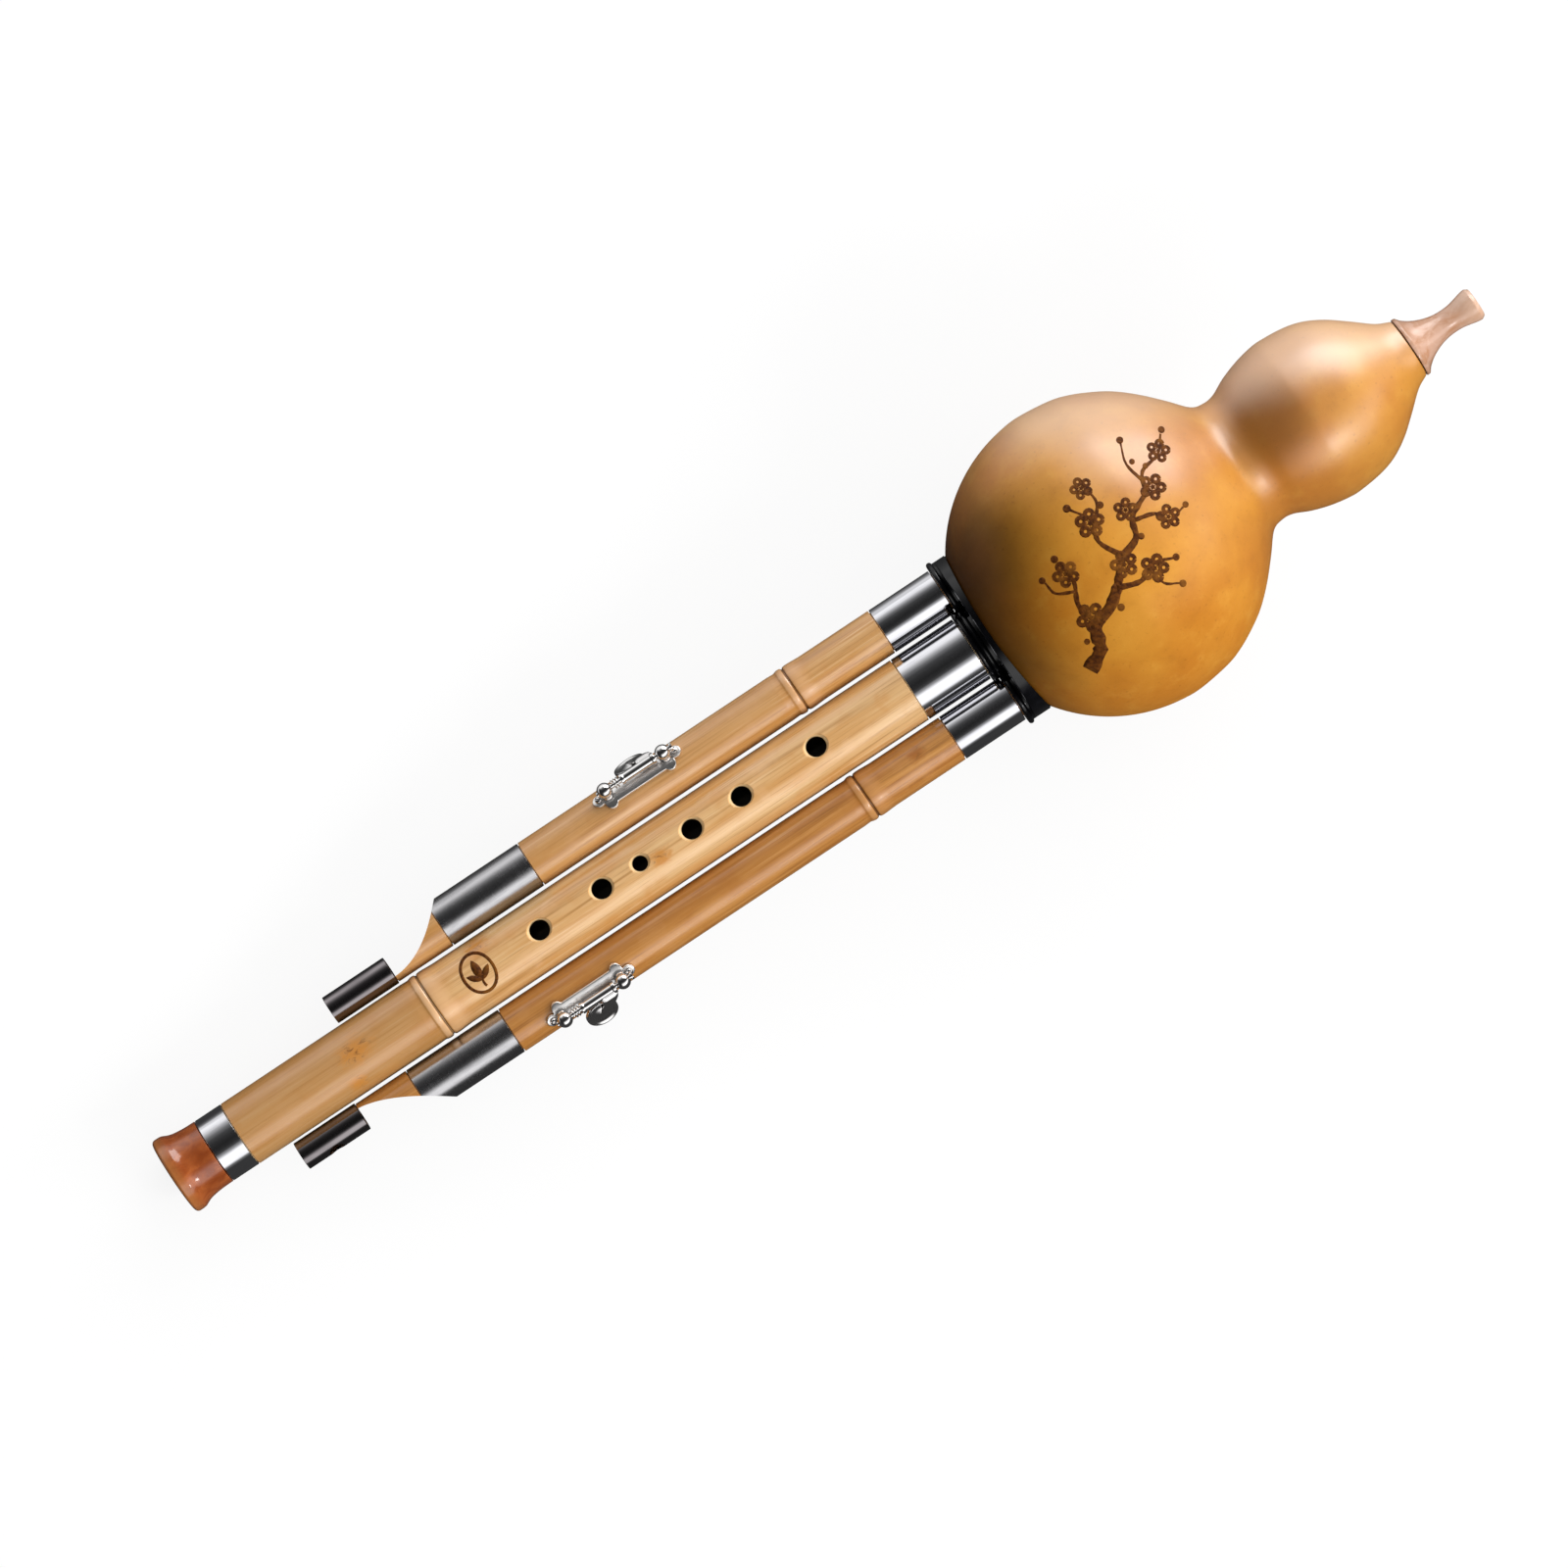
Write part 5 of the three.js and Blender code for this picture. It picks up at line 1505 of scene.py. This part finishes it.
# %% Key plate, posts, rod and screws
def make_key_plate(name):
    side = SIDE[name]
    middle = (PLATE_INNER + PLATE_OUTER) / 2
    cup_edge = CUP_ANGLE - math.atan((CUP_RADIUS + FIT) / middle) - HINGE_ANGLE
    low, high = PLATE_INNER - OVERRUN, PLATE_OUTER + OVERRUN
    made = box(-POST_OFFSET, POST_OFFSET, -side * PLATE_HALF_WIDTH,
               side * middle * math.sin(cup_edge), low, high)
    lobes = []
    for end in ENDS.values():
        for x, y, r in ((0, LOBE_REACH, LOBE_RADIUS), (0, -LOBE_REACH, LOBE_RADIUS),
                        (end * (SCREW_OFFSET - POST_OFFSET), 0, LOBE_RADIUS), (0, 0, LOBE_REACH)):
            lobes.append(shifted(upright(rod(low, high, r, 32)), x=end * POST_OFFSET + x, y=y))
    joined(made, *lobes)
    trimmed(made, turned(band(-2 * POST_OFFSET, 2 * POST_OFFSET, PLATE_INNER, PLATE_OUTER)))
    on_key(fused(made, [], 16), name, "plate", cast_nickel, CAST_CREASE)


def make_key_post(name, place, end):
    foot = PLATE_OUTER + FIT
    outline = [(PLATE_INNER + FIT, 0), (PLATE_INNER + FIT, POST_TENON), (foot, POST_TENON),
               (foot, COLLAR_RADIUS + POST_FOOT),
               (foot + POST_FOOT_HEIGHT, COLLAR_RADIUS + POST_FOOT)]
    outline += [(HINGE_HEIGHT - BALL_RADIUS * math.cos(angle), BALL_RADIUS * math.sin(angle))
                for angle in turns(20, math.asin(COLLAR_RADIUS / BALL_RADIUS))[:-1]]
    made = upright(turned([*outline, (HINGE_HEIGHT + BALL_RADIUS, 0)], 48, 0.08))
    reach = BALL_RADIUS + OVERRUN
    cut(made, shifted(rod(-reach, reach, ROD_BORE, 32), z=HINGE_HEIGHT))
    on_key(shifted(made, x=end * POST_OFFSET), name, f"post_{place}", nickel, 40 * DEGREE)


def make_key_rod(name):
    start, end = -POST_OFFSET - BALL_RADIUS - FIT, POST_OFFSET + BALL_RADIUS + FIT
    head = end + ROD_HEAD
    made = turned([
        (start, 0), (start, ROD_RADIUS), (end, ROD_RADIUS), (end, ROD_HEAD_RADIUS),
        (head, ROD_HEAD_RADIUS), (head, 0),
    ], 40, 0.15)
    reach = ROD_HEAD_RADIUS * 2
    cut(made, box(head - 0.35, head + 1, -0.18, 0.18, -reach, reach))
    on_key(shifted(made, z=HINGE_HEIGHT), name, "rod", nickel)


def make_key_screw(name, place, end):
    head = PLATE_OUTER + FIT
    top = head + SCREW_HEAD
    dome = [(head + SCREW_HEAD * (0.35 + 0.65 * math.sin(a)), SCREW_HEAD_RADIUS * math.cos(a))
            for a in (0, 0.4, 0.8, 1.2)]
    made = upright(turned([
        (PLATE_INNER - SCREW_LENGTH, 0), (PLATE_INNER - SCREW_LENGTH, SCREW_RADIUS),
        (head, SCREW_RADIUS), (head, SCREW_HEAD_RADIUS), *dome, (top, 0),
    ], 40, 0.06))
    cut(made, spun(box(-2, 2, -0.16, 0.16, top - 0.4, top + 1), 35 * DEGREE * end, "Z"))
    on_key(shifted(made, x=end * SCREW_OFFSET), name, f"screw_{place}", nickel)


# %% Key spring
SPRING_START = -POST_OFFSET + BALL_RADIUS + FIT + WIRE_RADIUS
SPRING_LENGTH = SPRING_TURNS * SPRING_PITCH
SPRING_STEPS = 90


def swept(path, radius):
    """A round wire along a list of points."""
    path = [Vector(point) for point in path]
    points = []
    normal = Vector((0, 0, 1))
    for i, here in enumerate(path):
        run = (path[min(i + 1, len(path) - 1)] - path[max(i - 1, 0)]).normalized()
        normal = (normal - run * normal.dot(run)).normalized()
        beside = run.cross(normal)
        points += [here + (normal * math.cos(angle) + beside * math.sin(angle)) * radius
                   for angle in turns(WIRE_SIDES, end=math.tau)[:-1]]
    return tidy(add_object(points, tube_faces(len(path), WIRE_SIDES)))


def make_key_spring(name):
    coil = ROD_RADIUS + FIT + WIRE_RADIUS
    path = []
    for step, angle in enumerate(turns(SPRING_STEPS, end=math.tau * SPRING_TURNS)):
        path.append((SPRING_START + SPRING_LENGTH * step / SPRING_STEPS, coil * math.sin(angle),
                     HINGE_HEIGHT + coil * math.cos(angle)))
    on_key(swept(path, WIRE_RADIUS), name, "spring", nickel, 60 * DEGREE)


# %% Key lever
TUBE_START = SPRING_START + SPRING_LENGTH + WIRE_RADIUS + FIT
TUBE_END = POST_OFFSET - BALL_RADIUS - FIT
TUBE_LENGTH = TUBE_END - TUBE_START
HINGE_UP = HINGE_HEIGHT * math.cos(TO_CUP)
HINGE_OUT = HINGE_HEIGHT * math.sin(TO_CUP)
# (share of the height, share of the radius) of the cup's crown, with its shallow dish
crown_shares = [(0.2, 1.0), (0.55, 0.98), (0.68, 0.92), (0.52, 0.84), (0.26, 0.72), (0.24, 0.6),
                (0.6, 0.4), (0.92, 0.2), (1, 0)]


def lever_arm(name):
    """A strap that rises from the hinge tube and comes down on the middle of the cup."""
    over = HINGE_UP + TUBE_RADIUS
    flow = smooth_curve([
        # distance from the cup's middle, height, middle along the pipe, half width
        (HINGE_OUT, over - 0.55, 4.4, 2.6), (HINGE_OUT * 0.8, over + 0.05, 4.3, 2.5),
        (HINGE_OUT * 0.5, CUP_TOP + 0.35, 3.4, 2.2), (HINGE_OUT * 0.2, CUP_TOP + 0.1, 1.8, 1.9),
        (0.0, CUP_TOP - 0.25, 0.6, 1.7), (-1.4, CUP_TOP - 0.5, 0.2, 1.2),
    ], 5)
    section = ((-1, -0.5), (1, -0.5), (1, 0.2), (0.6, 0.5), (-0.6, 0.5), (-1, 0.2))
    points = [(middle + half * x, -SIDE[name] * reach, height + z)
              for reach, height, middle, half in flow for x, z in section]
    return tidy(add_object(points, tube_faces(len(flow), len(section))))


def key_cup():
    inner = CUP_RADIUS - CUP_WALL
    skirt = CUP_CEILING - CUP_DEPTH + CUP_WALL
    crown = spread(crown_shares, CUP_CEILING, CUP_TOP - CUP_CEILING, 0, CUP_RADIUS)
    return upright(turned([
        (CUP_CEILING, 0), (CUP_CEILING, inner), (skirt, inner), (skirt, CUP_RADIUS),
        *smooth_curve(crown, 4),
    ], 64, 0.15))


def make_key_lever(name):
    hinge = {"y": -SIDE[name] * HINGE_OUT, "z": HINGE_UP}
    groove = TUBE_RADIUS - TUBE_GROOVE
    barrel = turned([
        (TUBE_START, 0), (TUBE_START, TUBE_RADIUS), (TUBE_START + 0.9, TUBE_RADIUS),
        (TUBE_START + 1.2, groove), (TUBE_START + TUBE_LENGTH - 1.2, groove),
        (TUBE_END - 0.9, TUBE_RADIUS), (TUBE_END, TUBE_RADIUS), (TUBE_END, 0),
    ], 48, 0.12)
    made = fused(key_cup(), [shifted(barrel, **hinge), lever_arm(name)], 4)
    cut(made, shifted(rod(TUBE_START - OVERRUN, TUBE_END + OVERRUN, ROD_BORE, 32), **hinge))
    on_lever(made, name, "lever", nickel, CAST_CREASE)


# %% Key pad
def leather_look():
    look = Look("kid_leather", {"Sheen Weight": 0.2})
    pebbles = look.cells(3.5)
    wear = look.noise(0.8, 4)
    tone = look.layered("cdb08a", (wear, 0.35, 0.7, 1, "a98760"))
    return look.finished(tone, 0.75 + (wear - 0.5) * 0.2, pebbles, 0.4, 0.06)


leather = leather_look()


def make_key_pad(name):
    radius = CUP_RADIUS - CUP_WALL - FIT
    top = PAD_FOOT + PAD_THICKNESS
    made = upright(turned([
        (PAD_FOOT, 0), (PAD_FOOT, radius * 0.55), (PAD_FOOT + 0.03, radius * 0.82),
        (PAD_FOOT + 0.2, radius * 0.97), (PAD_FOOT + 0.6, radius), (top, radius), (top, 0),
    ], 64, 0.1))
    on_lever(made, name, "pad", leather, 60 * DEGREE)
    return made


for name in SIDE:
    make_key_plate(name)
    for place, end in ENDS.items():
        make_key_post(name, place, end)
    make_key_rod(name)
    for place, end in ENDS.items():
        make_key_screw(name, place, end)
    make_key_spring(name)
    make_key_lever(name)
    make_key_pad(name)
    print(name, "key made")

# %% [markdown]
# The floor is a white sheet. To the camera it mostly shows plain white, mixed with some of its
# real shading, so that the soft shadow under the instrument stays visible.
# Polished metal only looks like metal when it has something dark to mirror, so a photographer
# hangs black cards above and beside the piece. Here the world and the floor play those cards, and
# only for mirror reflections: round the pipes' axis the world runs from dark to bright and back as
# a ramp, and the floor is bright only beyond the left drone. For light that falls on the object
# the world is a large soft glow that comes mostly from the mouthpiece's side.

# %% Floor and world
def grey(level):
    return (level, level, level, 1.0)


FLOOR_HALF = 4.0
FLOOR_GLOW = 0.72
FLOOR_WHITE = grey(1.2)
FLOOR_COLOUR = grey(0.42)
FLOOR_DARK = grey(0.05)
FLOOR_BRIGHT = grey(0.9)
LIT_FROM = (0.82, 0.05, 0.4)
GLOW_LEAST = 0.06
GLOW_MOST = 1.12
PAST_BELL = grey(0.03)

# Degrees round the pipes' axis, from straight above towards the left drone, and the light there
mirrored_room = [
    (-180, 0.04), (-95, 0.05), (-82, 0.05), (-73, 0.2), (-65, 1.4), (-48, 1.6), (-35, 1.4),
    (-27, 0.5), (-17, 0.07), (-8, 0.03), (4, 0.02), (20, 0.035), (34, 0.07), (46, 0.2),
    (58, 0.55), (70, 1.1), (84, 1.3), (94, 0.8), (106, 0.25), (125, 0.06), (180, 0.04),
]


def light_path(look):
    outputs = look.node("ShaderNodeLightPath", {}, {}).socket.node.outputs
    kinds = ("Is Camera Ray", "Is Glossy Ray", "Is Transmission Ray")
    return [Value(look, outputs[kind]) for kind in kinds]


def add_floor():
    corners = [(x * FLOOR_HALF, y * FLOOR_HALF, 0)
               for x, y in ((-1, -1), (1, -1), (1, 1), (-1, 1))]
    floor = add_object(corners, [(0, 1, 2, 3)], "floor")
    look = Look("white_floor", {"Base Color": FLOOR_COLOUR, "Roughness": 1.0,
                                "Specular IOR Level": 0.0})
    seen, mirrored, through = light_path(look)
    x, y, z = look.split(look.node("ShaderNodeTexCoord", {}, {}, "Object"))
    shown = look.mix(look.rise(y, 0.03, 0.2), FLOOR_DARK, FLOOR_BRIGHT)
    glow = look.node("ShaderNodeEmission", {}, {"Color": look.mix(mirrored, FLOOR_WHITE, shown)})
    own = Value(look, look.shader.outputs[0])
    share = (seen.most(through) * FLOOR_GLOW).most(mirrored)
    mixed = look.node("ShaderNodeMixShader", {}, {0: share, 1: own, 2: glow})
    look.tree.links.new(mixed.socket, look.tree.nodes["Material Output"].inputs["Surface"])
    floor.data.materials.append(look.material)


class WorldLook(Look):
    """The same node helpers on the world's tree."""

    def __init__(self, world):
        self.tree = world.node_tree

    def along(self, direction, axis):
        return self.node("ShaderNodeVectorMath", {"operation": "DOT_PRODUCT"},
                         {0: direction, 1: axis}, "Value")


def set_world():
    world = bpy.data.worlds.new("studio")
    world.use_nodes = True
    bpy.context.scene.world = world
    look = WorldLook(world)
    look.tree.nodes.clear()
    seen, mirrored, through = light_path(look)
    direction = look.node("ShaderNodeTexCoord", {}, {}, "Generated")
    lit = look.rise(look.along(direction, (turn @ Vector(LIT_FROM)).normalized()), -0.5, 1.0)
    soft = look.mix(lit, grey(GLOW_LEAST), grey(GLOW_MOST))
    sideways = look.along(direction, across)
    bearing = sideways.maths("ARCTAN2", sideways, look.along(direction, outward))
    stops = [((angle + 180) / 360, grey(light)) for angle, light in mirrored_room]
    room = look.node("ShaderNodeValToRGB", {"stops": stops}, {0: bearing / math.tau + 0.5})
    room = look.layered(room, (look.along(direction, along), -0.3, -0.7, 1, PAST_BELL))
    colour = look.mix(mirrored, look.mix(seen.most(through), soft, grey(1.0)), room)
    shown = look.node("ShaderNodeBackground", {}, {"Color": colour})
    end = look.tree.nodes.new("ShaderNodeOutputWorld")
    look.tree.links.new(shown.socket, end.inputs["Surface"])


add_floor()
set_world()
print("floor and world ready")

# %% [markdown]
# Three lamps finish the light. A long low softbox beyond the left drone gives the gourd its broad
# sheen. A narrow strip on the other side lifts the pipes; it is hidden from mirrors, which would
# show it as a jagged line and already have the bright part of the ramp there. A small window
# puts the sharp glints on the resin and the keys.

# %% Lamps
LAMPS_AIM = (-40, 0, 0)


def add_lamp(name, direction, distance, size, light, mirrored):
    """direction is on the instrument's axes; light is the brightness of the lamp's own face."""
    data = bpy.data.lights.new(name, "AREA")
    data.shape = "RECTANGLE"
    data.size, data.size_y = size
    data.energy = light * math.pi * size[0] * size[1]
    lamp = placed(name, data)
    back = (turn @ Vector(direction)).normalized()
    side = turn @ Vector((1, 0, 0))
    side = (side - back * side.dot(back)).normalized()
    facing = Matrix((side, back.cross(side), back)).transposed()
    spot = TO_ROW @ Vector(LAMPS_AIM) + back * distance
    lamp.matrix_world = Matrix.Translation(spot) @ facing.to_4x4()
    lamp.visible_camera = False
    lamp.visible_glossy = mirrored


add_lamp("low_softbox", (0.72, 0.6, 0.3), 1.3, (1.3, 0.9), 3.8, True)
add_lamp("strip", (0.35, -0.77, 0.54), 1.3, (1.5, 0.3), 8.8, False)
add_lamp("window", (0.26, -0.7, 0.66), 1.22, (0.24, 0.15), 14.0, True)
print("lamps ready")

# %% Picture settings
bpy.context.scene.view_settings.view_transform = "Standard"
